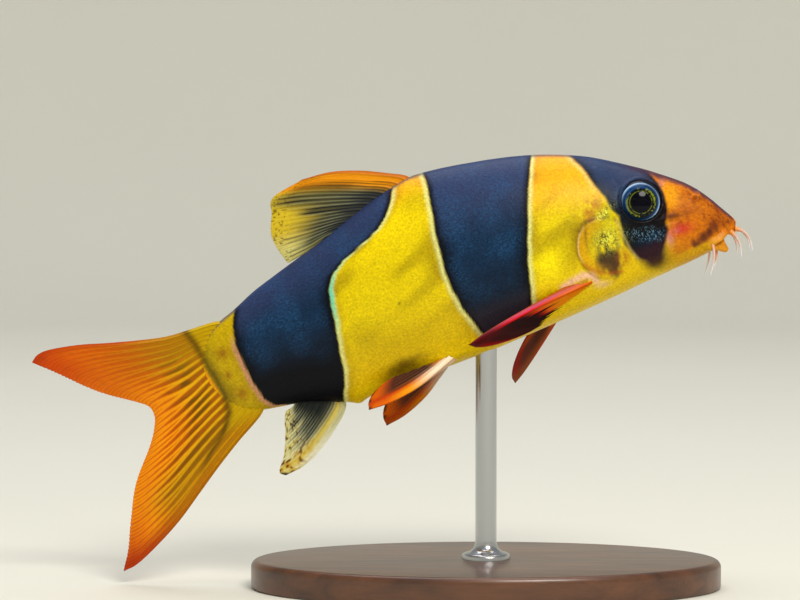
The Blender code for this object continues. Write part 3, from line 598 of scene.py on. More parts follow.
    # The three dark bands, each with a pale edge on its yellow side
    bands = (("headFront", "headRear", 0.6), ("twoFront", "twoRear", 0.3), ("threeFront", "threeRear", 0.3))
    # gold: where the shader paints gold-green glints on the gill cover
    masks = {"gold": np.maximum(glow, 0.7 * spot(s, z, (16.9, 10.0), (1.3, 0.5), -20)), "glint": 0 * s,
             "band": 0 * s}
    for front, back, soft in bands:
        inside = np.minimum(s - edgeAt(front, z), edgeAt(back, z) - s) + 0.3 * wander
        head, last = front == "headFront", front == "threeFront"
        low = fade(z, -1.0, 0.9) if head else fade(z + 0.6 * wander, -0.5, 0.4)
        if last:
            low = np.ones(len(s))
        rim = bell(inside + 0.26, 0.33) * (s > 14) * low * (0.5 * fade(z, 12, 15) if head else 1)
        if not head:
            lay("beforeBand", 0.25, bell(inside + 0.9, 0.7), low, (blotchy, 0.3, 0.7))
        fore = s < (edgeAt(front, z) + edgeAt(back, z)) / 2
        tint = "mauve" if last else "cream"
        lay("cream", 0.8, rim, fore)
        lay(tint, 0.8, rim, ~fore, fade(z, 14, 11) if last else 1)
        if last:
            lay("turquoise", rim, fore, bell(z - 13.2, 3.6))
        floor = (0.25, 0.65) if last else (0.15, 0.5)
        deep = Coat(tones, "bandDeep", len(s))
        deep.lay("bandBlue", (inside, 0.2, 2.6), (rise, *floor), 0.4 + 0.6 * blotchy)
        # Painted highlight: the top of each band is laid lighter slate, as lit from above
        high = fade(rise, 0.65, 1.0) if last else fade(rise, 0.55, 0.92)
        deep.lay("slateHighlight", high, (inside, 0.1, 1.2), 0.6 if head else 0.9)
        if front == "twoFront":
            deep.lay("bandTip", 0.7, (rise, 0.3, 0.12), (inside, 0, 0.8))
        if head:
            deep.lay("nape", 0.4, (streaky, 0.6, 0.9), (z, 9, 13))
            deep.lay("underEye", (z, 7.9, 6.8), (z, 4.2, 5.4))
            deep.lay("purple", 0.85, (z, 4.4, 2.6))
            deep.lay("umber", 0.8, (z + 0.7 * wander, 2.2, 0.4))
        soft = soft + (1.6 * fade(z, 3.2, 1.4) if head else 0)
        mask = fade(inside, -soft / 2, soft / 2) * low
        lay(deep.colour, mask)
        blue = mask * (fade(z, 7, 11) * 0.4 if head else fade(rise, *floor) * fade(inside, 0.1, 1.6))
        masks["band"] = np.maximum(masks["band"], blue * (0.3 + 0.7 * fade(blotchy, 0.3, 0.7)))
    sheen = spot(s, z, (12.7, 5.0), (2.7, 1.1), 22)
    glint = sheen + 0.5 * (blotchy - 0.5) + 0.3 * (streaky - 0.5)
    masks["glint"] = together((glint, 0.2, 0.8), (sheen, 0.1, 0.4))
    ring = np.hypot(s - eye["at"][0], z - eye["at"][1])
    # Near-black ring and crescent under the eye: dark skin with painted shadow under the eye's rim
    lay("underEye", 0.95, bell(ring - 3.0, 0.3), (z, 13.0, 9.0))
    lay("underEye", 0.9, (ring, 3.9, 3.3), (z, 8.6, 7.6))
    lay("ridge", 0.5, stroke(flat, ((15.7, 8.4), (15.6, 6), (15.4, 4), (14.9, 2.4)), 0.2))

    # Dark crown, a slate strip along the back that is painted highlight, and the yellow stalk with its
    # brown blotches
    crown = together((backAt(s) - z + 0.7 * wander, 1.35, 0.25), (s, 13, 10))
    lay("crown", 0.92, crown, (s, 0.1, 0.6))
    # Painted highlight: a slate strip along the top of the back
    ridge = together((backAt(s) - z, 0.6, 0.1), (s, 12, 16))
    lay("slateHighlight", 0.7, ridge)
    for at, reach in (((73.5, 11.5), (0.8, 0.9)), ((73.1, 5.2), (0.8, 0.9)), ((73.9, 8.4), (0.5, 0.6))):
        lay("blotch", 0.7, spot(s, z, at, reach))
    past = s - stalkLine(z)
    lay("stalk", 0.45, (past + 2 * wander, -2.2, -0.4))
    lay("stalk", 0.75, bell(past + 0.5 * wander, 0.45))
    lay(finTones["gold"], (past, 0.3, 1.0))
    masks["freckle"] = together((s, 11, 8), (z, 0.6, 2.0), 0.35 + 0.65 * fade(s, 7, 2))
    return coat.done(), masks


# What the shader adds to the paint: shine of the bands, freckles, glints, and painted gold-green glints on
# the gill cover with dark gaps
fleckTones = {"shine": (34, 84, 130), "freckle": (110, 42, 14), "glint": (112, 158, 186),
              "goldGlint": (228, 238, 88), "gap": (36, 18, 18)}


def skinMaterial():
    finish = Finish("fishSkin", roughness=0.42, coat_weight=0.06, coat_roughness=0.24,
                    specular_ior_level=0.09)
    space = finish.attribute("fishSpace", "Vector")
    grain = finish.noise(space, 3.2, 3.0, 0.6)
    scales = finish.cells(finish.scaled(space, (1.0, 1.0, 1.35)), 2.6)
    flecks = finish.noise(finish.scaled(space, (2.4, 1.3, 1.1)), 2.7, 2.0, 0.6)
    fine = finish.noise(space, 2.0, 3.0, 0.65)
    silk = finish.noise(finish.scaled(space, (0.7, 1.0, 1.2)), 3.6, 3.0, 0.65)
    gold = finish.mask("gold")
    sparkle = finish.mask("glint") * flecks.ramp(0.52, 0.64)
    # Painted gold-green glints on the gill cover, with some metal
    goldGlint = gold * flecks.ramp(0.47, 0.53)
    colour = finish.attribute("paint", "Color")
    colour = finish.mixed(finish.mask("band") * silk.ramp(0.4, 0.66) * 0.5, colour, fleckTones["shine"])
    colour = finish.mixed(finish.mask("freckle") * fine.ramp(0.5, 0.66) * 0.7, colour,
                          fleckTones["freckle"])
    colour = finish.mixed(sparkle * 0.7, colour, fleckTones["glint"])
    colour = finish.mixed(goldGlint * 0.95, colour, fleckTones["goldGlint"])
    colour = finish.mixed(gold * fine.ramp(0.48, 0.4), colour, fleckTones["gap"])
    finish.feed(base_color=finish.tinted(colour, 0.42 + grain * 0.9 + scales * 0.25),
                metallic=sparkle * 0.5 + goldGlint * 0.5,
                roughness=0.3 + finish.noise(space, 1.2) * 0.2)
    finish.bumped(scales * 0.6 + grain * 0.6, 0.6, 0.00008)
    return finish


# Rings on the snout, head, trunk and stalk, points in a ring, and how much the end of the stalk thins
skinBuild = {"rings": (72, 184, 190, 66), "sides": 216, "thinning": 0.35, "outlineSteps": 1441}


def skinStations():
    snout, head, trunk, stalk = (round(n * fineness) for n in skinBuild["rings"])
    return np.concatenate([4 * np.linspace(0.03, 1, snout) ** 2, np.linspace(4.1, 24, head),
                           np.linspace(24.2, 66, trunk), bodyEnd - 11.2 * np.linspace(1, 0.03, stalk) ** 2])


def makeSkin():
    stations = skinStations()
    sides = round(skinBuild["sides"] * fineness)
    turn = np.linspace(0, 2 * math.pi, skinBuild["outlineSteps"])
    rings = []
    for s in stations:
        low, high, middle = bellyAt(s), backAt(s), middleOf(s)
        power = np.where(np.sin(turn) >= 0, 2 / upperAt(s), 2 / lowerAt(s))
        reach = np.where(np.sin(turn) >= 0, high - middle, middle - low)
        width = halfWidthAt(s) * (1 - skinBuild["thinning"] * fade(s, 73.0, 77.0))
        y = width * np.sign(np.cos(turn)) * np.abs(np.cos(turn)) ** power
        z = middle + reach * np.sign(np.sin(turn)) * np.abs(np.sin(turn)) ** power
        run = np.concatenate([[0], np.cumsum(np.hypot(np.diff(y), np.diff(z)))])
        at = np.linspace(0, run[-1], sides, endpoint=False)
        rings.append(np.column_stack([np.full(sides, s), np.interp(at, run, y), np.interp(at, run, z)]))
    grid = np.array(rings)
    around = np.roll(grid, -1, axis=1) - np.roll(grid, 1, axis=1)
    along = np.gradient(grid, axis=0)
    normal = np.cross(around, along)
    normal /= np.linalg.norm(normal, axis=2, keepdims=True)
    outward = np.sum(normal[..., 1] * grid[..., 1]) > 0
    normal = (normal if outward else -normal).reshape(-1, 3)
    flat = grid.reshape(-1, 3)
    raised = flat + normal * relief(flat)[:, None]
    poles = np.array([(0, 0, backLine[0][1]), (bodyEnd, 0, backLine[-1][1])])
    level = np.vstack([flat, poles])
    colour, masks = paintSkin(level)
    addPiece("fishSkin", placed(np.vstack([raised, poles])), lathe(len(stations), sides),
             skinMaterial(), ("head", "trunk", "tail_stalk"), colour,
             {**masks, "fishSpace": level})


# Eyes: a wet ball whose iris is painted in rings
iris = {"core": 1.3, "pupil": 1.40, "inner": 1.56, "gold": 1.96, "blue": 2.3, "azure": 2.2, "glass": 2.58,
        "rim": 2.72}
eyeTones = {
    "azure": (30, 84, 150), "pupil": (1, 1, 12), "dark": (7, 12, 16), "gold": (132, 142, 34),
    "blue": (12, 38, 72), "glass": (112, 164, 220), "edge": (214, 230, 244), "rim": (5, 8, 14),
}
eyeTones = linears(eyeTones)


def eyeAxes(side):
    out = (flankNormal(*eye["at"], side) + Vector((0, side, 0)) * 0.8).normalized()
    across = out.cross(Vector((1, 0, 0))).normalized()
    return np.array([across.cross(out), across, out])


def paintEye(local):
    # local holds each point's place across, up and out of the eye
    across, up = local[:, 0], local[:, 1]
    ring = np.hypot(across, up)
    mottle = noise(local, 0.2, 11)
    sides = np.abs(across) / np.maximum(ring, 0.01)
    coat = Coat(eyeTones, "dark", len(ring))
    lay = coat.lay
    lay("pupil", (ring, iris["pupil"], iris["core"]))
    lay("gold", 0.9, bell(ring - iris["inner"], 0.04), (mottle, 0.2, 0.5))
    lay("gold", bell(ring - iris["gold"], 0.14), (mottle + 0.6 * sides, 0.75, 1.05))
    lay("azure", 0.8, bell(ring - iris["azure"], 0.2), (up + 0.4 * across, -0.4, 1.6))
    lay("blue", (ring, 2.1, iris["blue"]))
    # Pale blue and near-white rings round the iris: painted highlight on the eye's rim, strongest where lit
    lit = np.clip(np.abs(up * 0.85 + across * 0.35) / np.maximum(ring, 0.01), 0, 1) ** 2
    lay("glass", bell(ring - iris["glass"], 0.13), 0.2 + 0.8 * lit)
    lay("edge", bell(ring - iris["glass"] - 0.05, 0.05), 0.15 + 0.75 * lit)
    lay("rim", (ring, iris["rim"], iris["rim"] + 0.08))
    return coat.colour


def makeEyes():
    finish = Finish("eyeBall", roughness=0.14, coat_weight=0.16, coat_roughness=0.02,
                    specular_ior_level=0.05)
    finish.feed(base_color=finish.attribute("paint", "Color"))
    rings, sides = round(eye["rings"] * fineness), round(eye["sides"] * fineness)
    dip = np.linspace(0.012, math.pi - 0.012, rings)[:, None]
    turn = turns(sides)[None, :]
    unit = np.stack([np.sin(dip) * np.cos(turn), np.sin(dip) * np.sin(turn), np.cos(dip) + 0 * turn],
                    axis=-1)
    unit = np.vstack([unit.reshape(-1, 3), (0, 0, 1), (0, 0, -1)])
    local = unit * (eye["radius"], eye["radius"], eye["depth"])
    for side, word in ((-1, "right"), (1, "left")):
        axes = eyeAxes(side)
        s, z = eye["at"]
        middle = np.array([s, side * float(flankY(s, z)), z]) - axes[2] * (eye["depth"] - eye["proud"])
        level = middle + local @ axes
        seen = np.column_stack([level[:, 0] - middle[0], level[:, 2] - middle[2], local[:, 2]])
        faces = lathe(rings, sides)
        if side > 0:
            faces = [face[::-1] for face in faces]
        addPiece("eyeBall_" + word, placed(level), faces, finish, ("eye_" + word,), paintEye(seen))


# Fins: outlines in the plane of each fin, ray counts, and how the blade is built
caudal = {
    "rays": 19, "rows": 150, "rootThick": 1.0,
    "root": ((70.4, 15.2), (74.4, 13.4), (75.6, 11), (75.8, 8.8), (75.2, 6.4), (73.2, 4.2), (70.4, 2.9)),
    "lead": ((70.4, 15.2), (73, 16.0), (76, 16.25), (80, 16.6), (84, 17.6), (88, 18.8), (92, 20.1),
             (96, 21.0), (98, 21.0), (99.2, 20.3)),
    "margin": ((99.2, 20.3), (96, 16.9), (92, 12.9), (88, 9.9), (86.3, 8.5), (85.9, 7.3), (86.3, 5.8),
               (88, 3.3), (92, -1.0), (94.4, -5), (96.6, -9.2), (98.4, -12.0)),
    "trail": ((70.4, 2.9), (72, 1.3), (76, -0.8), (80, -3.1), (84, -5.6), (88, -8.1), (92, -10.1),
              (96, -11.7), (98.4, -12.0)),
}
dorsal = {
    "rays": 11, "hairs": 22, "rows": 90, "rootThick": 0.95,
    "root": ((39.4, 23.7), (44, 23.3), (48, 22.3), (52.6, 20.9)),
    "lead": ((39.4, 23.7), (40.4, 25.0), (42.5, 26.2), (46, 28.0), (50, 29.4), (54, 29.9)),
    "margin": ((54, 29.9), (58.8, 29.1), (59.9, 26.9), (61.0, 24.4), (60.9, 22.0), (60.3, 19.8)),
    "trail": ((52.6, 20.9), (54, 21.1), (57, 20.25), (60.3, 19.8)),
}
anal = {
    "rays": 8, "hairs": 18, "rows": 80, "rootThick": 0.9,
    "root": ((59.8, -0.7), (62.6, 0.5), (66.4, 1.7)),
    "lead": ((59.8, -0.7), (60.6, -2.4), (63, -4.4), (66, -6.3), (69, -7.5), (71.8, -7.8)),
    "margin": ((71.8, -7.8), (72.5, -7.0), (71.0, -5.0), (69.8, -2.6), (69.0, -0.4), (68.4, 0.6)),
    "trail": ((66.4, 1.7), (67.2, 0.9), (68.4, 0.6)),
}
pectoral = {
    "rays": 12, "rows": 90, "rootThick": 1.0, "inner": 0.34,
    "root": ((-0.9, 0.1), (-0.7, 1.2), (-0.4, 2.3)),
    "lead": ((-0.9, 0.1), (6, -0.3), (12, -0.2), (16, 0.4), (18.4, 1.3)),
    "margin": ((18.4, 1.3), (17.3, 3.1), (15, 4.8), (12, 5.9), (9.4, 6.0)),
    "trail": ((-0.4, 2.3), (3.5, 4.0), (6.5, 5.3), (9.4, 6.0)),
}
pelvic = {
    "rays": 8, "rows": 80, "rootThick": 1.0, "inner": 0.25,
    "root": ((-1.0, 0.0), (-0.6, 1.0), (-0.1, 2.0)),
    "lead": ((-1.0, 0.0), (3.5, -0.7), (7.5, -1.0), (11.5, -0.2), (14.3, 1.3)),
    "margin": ((14.3, 1.3), (13.5, 2.6), (12.0, 3.7), (10.0, 4.3)),
    "trail": ((-0.1, 2.0), (5.2, 3.7), (10.0, 4.3)),
}
# Root on the flank, way along the leading ray, way across the rays, arch of the blade, cup of its rays
paired = {
    "pectoral_fin_right": (pectoral, (22.9, 2.3), -1, (18.2, -3.9, -1.5), (0.3, 4.2, -3.0), 0.0, 0.7),
    "pectoral_fin_left": (pectoral, (22.9, 2.3), 1, (13.5, 6.2, -11.1), (0.18, -0.94, 0.3), 0.1, 0.5),
    "pelvic_fin_right": (pelvic, (43.6, -0.9), -1, (12.8, -5.0, -2.7), (0.2, 3.2, 1.5), 0.0, 0.4),
    "pelvic_fin_left": (pelvic, (43.6, -0.9), 1, (12.0, 4.0, -6.9), (0.6, -2.6, 2.4), 0.0, 0.4),
}
finBuild = {"membrane": 0.42, "rayHeight": 0.2, "columnsPerRay": 16, "split": 0.24, "notch": 0.006}


def fan(outline, u, v):
    # Straight rays from root to margin, eased onto the curved edges; u runs across them and v along them
    fine = 400
    even = np.linspace(0, 1, fine)
    sides = {key: curveThrough(outline[key], fine) for key in ("root", "margin", "lead", "trail")}

    def at(key, share):
        return np.stack([np.interp(share, even, axis) for axis in sides[key].T], axis=-1)

    root, margin, lead, trail = at("root", u), at("margin", u), at("lead", v), at("trail", v)
    a, b, c, d = sides["root"][0], sides["root"][-1], sides["margin"][0], sides["margin"][-1]
    u, v = u[..., None], v[..., None]
    bulge = (1 - u) ** 2 * (lead - (1 - v) * a - v * c) + u ** 2 * (trail - (1 - v) * b - v * d)
    return (1 - v) * root + v * margin + bulge


def rayRidge(u, v, rays):
    # 1 on a ray, 0 between rays; each ray forks in its outer half
    place = u * rays - 0.5
    offset = np.abs(place - np.round(np.clip(place, 0, rays - 1)))
    first = finBuild["split"] * fade(v, 0.3, 0.85)
    offset = np.abs(offset - first)
    second = finBuild["split"] * 0.5 * fade(v, 0.62, 1.0)
    return bell(offset - second, 0.1 + 0.08 * (1 - v))


def streaksOf(flat, across, along, seed):
    # Noise drawn out along the rays
    return noise(flat * (across, along, 1), 1.0, seed)


def hairs(u, count, sharp, shift=0.0):
    # Fine pale and dark lines that run beside the rays: 1 on a line, 0 between lines
    return fade(np.cos(2 * math.pi * (u * count - shift)), sharp, 1.0)


def finSurface(spec):
    columns = round(spec["rays"] * finBuild["columnsPerRay"] * fineness) + 1
    rows = round(spec["rows"] * fineness)
    v, u = np.meshgrid(np.linspace(0, 1, rows), np.linspace(0, 1, columns), indexing="ij")
    ridge = rayRidge(u, v, spec["rays"])
    tips = noise(np.column_stack([u.ravel() * spec["rays"] * 1.3, v.ravel() * 0, v.ravel() * 0]), 1.0, 31)
    worn = finBuild["notch"] * (1 - ridge) + 0.005 * tips.reshape(u.shape)
    ragged = 1 - worn * fade(v, 0.75, 1.0) * fade(np.minimum(u, 1 - u), 0.0, 0.08)
    return u, v, ridge, fan(spec, u, v * ragged)


def finThickness(spec, v, ridge):
    flesh = (spec["rootThick"] - finBuild["membrane"]) * (1 - v) ** 2
    return finBuild["membrane"] + flesh + 2 * finBuild["rayHeight"] * ridge * (1 - 0.7 * v)


def addFin(name, grid, normal, u, v, ridge, spec, paint):
    rows, columns = u.shape
    thick = finThickness(spec, v, ridge)
    edge = np.minimum(np.minimum(u, 1 - u) * spec["rays"] * 2, (1 - v) * 12)
    thick = thick * np.sqrt(np.clip(edge, 0.12, 1))
    shift = normal * (thick / 2)[..., None]
    level = np.vstack([(grid + shift).reshape(-1, 3), (grid - shift).reshape(-1, 3)])
    far = rows * columns
    index = np.arange(far).reshape(rows, columns)
    quads = np.stack([index[:-1, :-1], index[:-1, 1:], index[1:, 1:], index[1:, :-1]], axis=-1)
    quads = quads.reshape(-1, 4)
    rim = np.concatenate([index[0, :-1], index[:-1, -1], index[-1, :0:-1], index[:0:-1, 0]])
    after = np.roll(rim, -1)
    walls = np.column_stack([after, rim, rim + far, after + far])
    faces = np.vstack([quads, quads[:, ::-1] + far, walls]).tolist()
    flat = np.column_stack([u.ravel() * spec["rays"], v.ravel() * 20, np.zeros(far)])
    colour, alpha = paint(u.ravel(), v.ravel(), ridge.ravel(), flat)
    # The inner face of each paired fin is tinted rust: partly painted shade, since the far fins show their
    # shaded inner faces
    rimward = fade(np.abs(u.ravel() * 2 - 1), 0.2, 0.9)
    sheets = [colour, over(colour, finTones["rust"], spec.get("inner", 0.0) * (0.4 + 1.4 * rimward))]
    if np.mean(normal[..., 1]) * np.mean(grid[..., 1]) < 0:
        sheets.reverse()
    addPiece(name, placed(level), faces, finFinish, (name,),
             np.vstack(sheets),
             {"clear": np.concatenate([alpha, alpha]), "finSpace": np.vstack([flat, flat])})


# Colours of the fins; the paired fins are all red
finTones = {
    "orange": (224, 100, 2), "gold": (250, 160, 8), "red": (198, 58, 3), "brick": (168, 40, 6),
    "deepRed": (84, 6, 10), "crimson": (236, 8, 14), "violet": (190, 104, 150), "black": (10, 6, 8),
    "smoke": (24, 30, 32), "straw": (216, 186, 40), "pale": (214, 204, 120), "ivory": (228, 224, 166),
    "white": (244, 240, 216), "olive": (84, 64, 6), "stalk": (196, 160, 4), "amber": (232, 146, 8),
    "rust": (176, 84, 8), "plum": (44, 22, 30), "dusk": (56, 60, 48), "mist": (150, 156, 120),
    "lemon": (246, 196, 16), "umber": (116, 82, 6), "earth": (66, 42, 4), "ink": (30, 40, 56),
}
finTones = linears(finTones)


def finMaterial():
    finish = Finish("finMembrane", roughness=0.5, coat_weight=0.03, coat_roughness=0.15,
                    specular_ior_level=0.08)
    space = finish.attribute("finSpace", "Vector")
    grain = finish.noise(finish.scaled(space, (2.0, 0.8, 1.0)), 1.6, 3.0)
    joints = finish.noise(finish.scaled(space, (0.6, 9.0, 1.0)), 1.0, 1.0)
    shade = 0.78 + grain * 0.3 + joints * 0.14
    finish.feed(base_color=finish.tinted(finish.attribute("paint", "Color"), shade),
                alpha=finish.attribute("clear"))
    finish.bumped(joints + grain * 0.5, 0.25, 0.00006)
    return finish


def paintCaudal(u, v, ridge, flat):
    place = fan(caudal, u, v)
    s, z = place[..., 0], place[..., 1]
    past = s - stalkLine(z)
    lobe = np.abs(u - 0.5) * 2
    thin = streaksOf(flat, 2.2, 0.3, 21)
    blotchy = streaksOf(flat, 0.5, 0.25, 28)
    outer = together((u, 0.5, 0.3), (past, 4, 14))
    coat = Coat(finTones, "orange", len(u))
    lay = coat.lay
    lay("gold", ridge, 0.65 + 0.35 * blotchy, 1 - 0.6 * outer)
    lay("lemon", 0.9, ridge, (past, 9, 2), (lobe, 0.95, 0.5))
    lay("red", 0.6, (u, 0.5, 0.12), (past, 6, 18), 0.5 + 0.5 * blotchy)
    lay("red", 0.7, (v, 0.8, 1.0), (lobe, 0.5, 0.9))
    lay("umber", 0.65, (u, 0.46, 0.2), (past, 19, 1))
    lay("umber", 0.65, (u, 0.7, 0.86), (past, 9, 3), 1 - 0.5 * ridge)
    lay("brick", 0.85, (u, 0.9, 0.99), (v, 0.25, 0.5))
    lay("brick", 0.6, (u, 0.05, 0.0), (v, 0.35, 0.6))
    dashes = together((ridge, 0.25, 0.0), (thin, 0.42, 0.6), bell(past - 3.8, 2.8), (lobe, 0.8, 0.4))
    lay("earth", 0.8, dashes)
    lay("stalk", 0.35, (past, 10, 1))
    gaps = together((ridge, 0.3, 0.0), (past, 13, 5), (u, 0.26, 0.42), (u, 0.95, 0.8))
    lay("earth", 0.5, gaps)
    lay("stalk", (past, 0.3, -0.6), (z, 0, 3))
    lay("olive", 0.75, bell(past, 0.6), (s, 84, 80))
    return coat.done(), 1 - 0.12 * (1 - ridge) * fade(v, 0.5, 1.0)


def paintDorsal(u, v, ridge, flat):
    thin = streaksOf(flat, 1.4, 0.12, 22)
    specks = noise(flat * (1.6, 0.9, 1), 0.3, 23)
    line, gap = hairs(u, dorsal["hairs"], -0.3), hairs(u, dorsal["hairs"], 0.5, 0.5)
    coat = Coat(finTones, "straw", len(u))
    lay = coat.lay
    lay("pale", (u, 0.66, 0.9))
    lay("amber", 0.95, (u, 0.36, 0.2))
    reach = 0.75 + 0.4 * (streaksOf(flat, 0.8, 0.1, 33) - 0.5) + 0.35 * (thin - 0.5)
    dark = together((v, reach + 0.28, reach - 0.22), (u, 0.18, 0.36), (u, 1.02, 0.9))
    lay("dusk", 0.9, dark)
    lay("smoke", dark, line, 0.5 + 0.5 * fade(thin, 0.3, 0.6))
    lay("ink", 0.7, dark, (v, 0.6, 0.1))
    lay("mist", 0.6, dark, gap, (v, 0.08, 0.3), (thin, 0.7, 0.4))
    lay("smoke", 0.5, line, (thin, 0.4, 0.6), (v, 1.0, 0.8), (u, 0.04, 0.12))
    lay("umber", 0.6, line, (u, 0.3, 0.2), (v, 0.05, 0.2), (thin, 0.3, 0.6))
    lay("earth", 0.6, bell(u - 0.24, 0.07), (v, 0.25, 0.5), (v, 0.95, 0.8))
    lay("rust", 0.8, (u, 0.07, 0.02))
    lay("black", 0.65, (specks, 0.7, 0.78), (v, 0.74, 0.94))
    return coat.done(), 1 - 0.25 * (1 - ridge) * fade(v, 0.3, 0.8) * fade(u, 0.4, 0.8)


def paintAnal(u, v, ridge, flat):
    thin = streaksOf(flat, 1.6, 0.14, 24)
    specks = noise(flat * (1.4, 0.7, 1), 0.45, 25)
    line, gap = hairs(u, anal["hairs"], -0.3), hairs(u, anal["hairs"], 0.5, 0.5)
    coat = Coat(finTones, "ivory", len(u))
    lay = coat.lay
    lay("straw", 0.7, (v, 0.4, 0.75), (specks, 0.3, 0.7))
    lay("straw", 0.8, bell(u - 0.14, 0.07))
    reach = 0.6 + 0.5 * (streaksOf(flat, 0.8, 0.1, 34) - 0.5) + 0.4 * (thin - 0.5)
    dark = together((v, reach + 0.25, reach - 0.2), (u + 0.12 * (thin - 0.5), 0.12, 0.34), (u, 1.02, 0.92))
    lay("dusk", 0.92, dark)
    lay("smoke", dark, line, 0.5 + 0.5 * fade(thin, 0.3, 0.6))
    lay("smoke", 0.9, (v, 0.6, 0.2), (u, 0.16, 0.4), (u, 1.0, 0.85))
    lay("mist", 0.6, dark, gap, (v, 0.25, 0.5))
    lay("smoke", 0.45, line, (thin, 0.45, 0.6), (v, 1.0, 0.8), (u, 0.25, 0.4))
    fringe = bell(u - 0.16, 0.1) * fade(v, 0.5, 0.75)
    lay("mist", 0.45, (u, 0.16, 0.05), (v, 0.8, 0.4))
    lay("rust", 0.55, fringe, (specks, 0.35, 0.6))
    lay("black", 0.8, (specks, 0.64, 0.74), (v, 0.45, 0.75))
    lay("white", 0.8, (u, 0.1, 0.04), (v, 0.9, 0.6), (v, 0.1, 0.6))
    lay("black", 0.95, (np.hypot(u * 1.4, (1 - v) * 3), 0.18, 0.08))
    return coat.done(), 1 - 0.3 * (1 - ridge) * fade(v, 0.2, 0.7) * fade(u, 0.08, 0.2)


def paintPectoral(u, v, ridge, flat):
    streaks = streaksOf(flat, 1.2, 0.12, 26)
    coat = Coat(finTones, "crimson", len(u))
    lay = coat.lay
    lay("orange", (v, 0.5, 0.2))
    lay("amber", 0.9, (v, 0.52, 0.28), (u, 0.05, 0.2))
    narrow = 1 - 0.6 * fade(v, 0.45, 0.9)
    dark = together((u + 0.1 * (streaks - 0.5), 0.05 * narrow, 0.16 * narrow),
                    (v + 0.3 * (streaks - 0.5), 0.32, 0.5))
    lay("black", 0.98, dark)
    lay("orange", 0.8, bell(u - 0.12, 0.05), (v, 0.6, 0.4))
    lay("deepRed", 0.92, (v, 0.62, 0.86), 0.4 + 0.6 * fade(u, 0.3, 0.1))
    lay("crimson", 0.6, ridge ** 2, (v, 0.88, 0.97), (u, 0.1, 0.3))
    # Violet line on the leading edge: its own colour with a painted highlight
    lay("violet", 0.7, (u, 0.04, 0.0), bell(v - 0.45, 0.3))
    return coat.done(), 1 - 0.1 * (1 - ridge) * fade(v, 0.6, 1.0)


def paintPelvic(u, v, ridge, flat):
    streaks = streaksOf(flat, 1.4, 0.12, 27)
    coat = Coat(finTones, "amber", len(u))
    lay = coat.lay
    lay("orange", (v, 0.5, 0.85))
    lay("red", 0.9, bell(u - 0.2, 0.09), (v, 0.12, 0.3))
    dark = together((u + 0.16 * (streaks - 0.5), 0.2, 0.32), (v, 0.14, 0.34), (v, 0.94, 0.72))
    lay("plum", 0.98, dark, 0.86 + 0.14 * (1 - ridge))
    lay("gold", 0.9, bell(u - 0.06, 0.09), (v, 0.85, 0.55))
    lay("white", 0.98, bell(u - 0.08, 0.14), (v, 0.6, 0.25))
    lay("black", 0.85, (v, 0.955, 0.985), (streaks, 0.35, 0.6))
    return coat.done(), 1 - 0.12 * (1 - ridge) * fade(v, 0.5, 1.0)


def makeFins():
    for name, spec, paint in (("caudal_fin", caudal, paintCaudal), ("dorsal_fin", dorsal, paintDorsal),
                              ("anal_fin", anal, paintAnal)):
        u, v, ridge, flat = finSurface(spec)
        grid = np.stack([flat[..., 0], np.zeros(u.shape), flat[..., 1]], axis=-1)
        addFin(name, grid, np.array([0.0, 1.0, 0.0]), u, v, ridge, spec, paint)
    for name, (spec, (s, z), side, reach, across, arch, cup) in paired.items():
        u, v, ridge, flat = finSurface(spec)
        root = np.array([s, side * float(flankY(s, z)), z])
        along = Vector(reach).normalized()
        sideways = Vector(across)
        sideways = (sideways - along * sideways.dot(along)).normalized()
        normal = along.cross(sideways)
        if normal.z < 0:
            normal.negate()
        a, b = flat[..., 0:1], flat[..., 1:2]
        length, width = spec["lead"][-1][0], spec["margin"][-1][1]
        run = np.clip(a / length, 0, 1)
        bow = 4 * arch * run * (1 - run) + cup * np.sin(run * math.pi / 2) * (b / width)
        grid = root + a * np.array(along) + b * np.array(sideways) + bow * np.array(normal)
        addFin(name, grid, np.array(normal), u, v, ridge, spec,
               paintPectoral if spec is pectoral else paintPelvic)


# Barbels: root, point at half length, tip and radius at the root
barbels = {
    "barbel_snout_front": ((0.5, 0.7, 0.85), (-0.7, 1.2, -0.55), (-0.5, 1.75, -2.8), 0.4),
    "barbel_snout_rear": ((1.3, 1.3, 0.75), (0.8, 2.2, -0.9), (1.4, 2.9, -3.0), 0.4),
    "barbel_mouth_corner": ((4.45, 2.3, 0.3), (4.85, 3.3, -1.4), (6.4, 4.0, -3.7), 0.42),
    "barbel_chin": ((4.2, 0.85, -1.0), (4.45, 1.15, -2.0), (5.3, 1.45, -2.9), 0.32),
}
# Points round and along, thickness against the solid, its loss to the tip, where the tip rounds off, flare
feeler = {"sides": 18, "steps": 44, "thick": 0.64, "taper": 0.48, "tipFrom": 0.93, "tipRun": 0.072,
          "flare": 0.5}
barbelTones = linears({"root": (226, 140, 50), "middle": (206, 178, 160), "tip": (226, 220, 226)})


def sweptTube(path, radii, sides):
    # Rings of points round a path, and the two end points
    rings = []
    first = np.array([0.0, 1.0, 0.0])
    for k, point in enumerate(path):
        ahead = path[min(k + 1, len(path) - 1)] - path[max(k - 1, 0)]
        ahead = ahead / np.linalg.norm(ahead)
        first = first - ahead * (first @ ahead)
        first = first / np.linalg.norm(first)
        second = np.cross(ahead, first)
        turn = turns(sides)[:, None]
        rings.append(point + radii[k] * (np.cos(turn) * first + np.sin(turn) * second))
    return np.vstack([*rings, path[:1], path[-1:]])


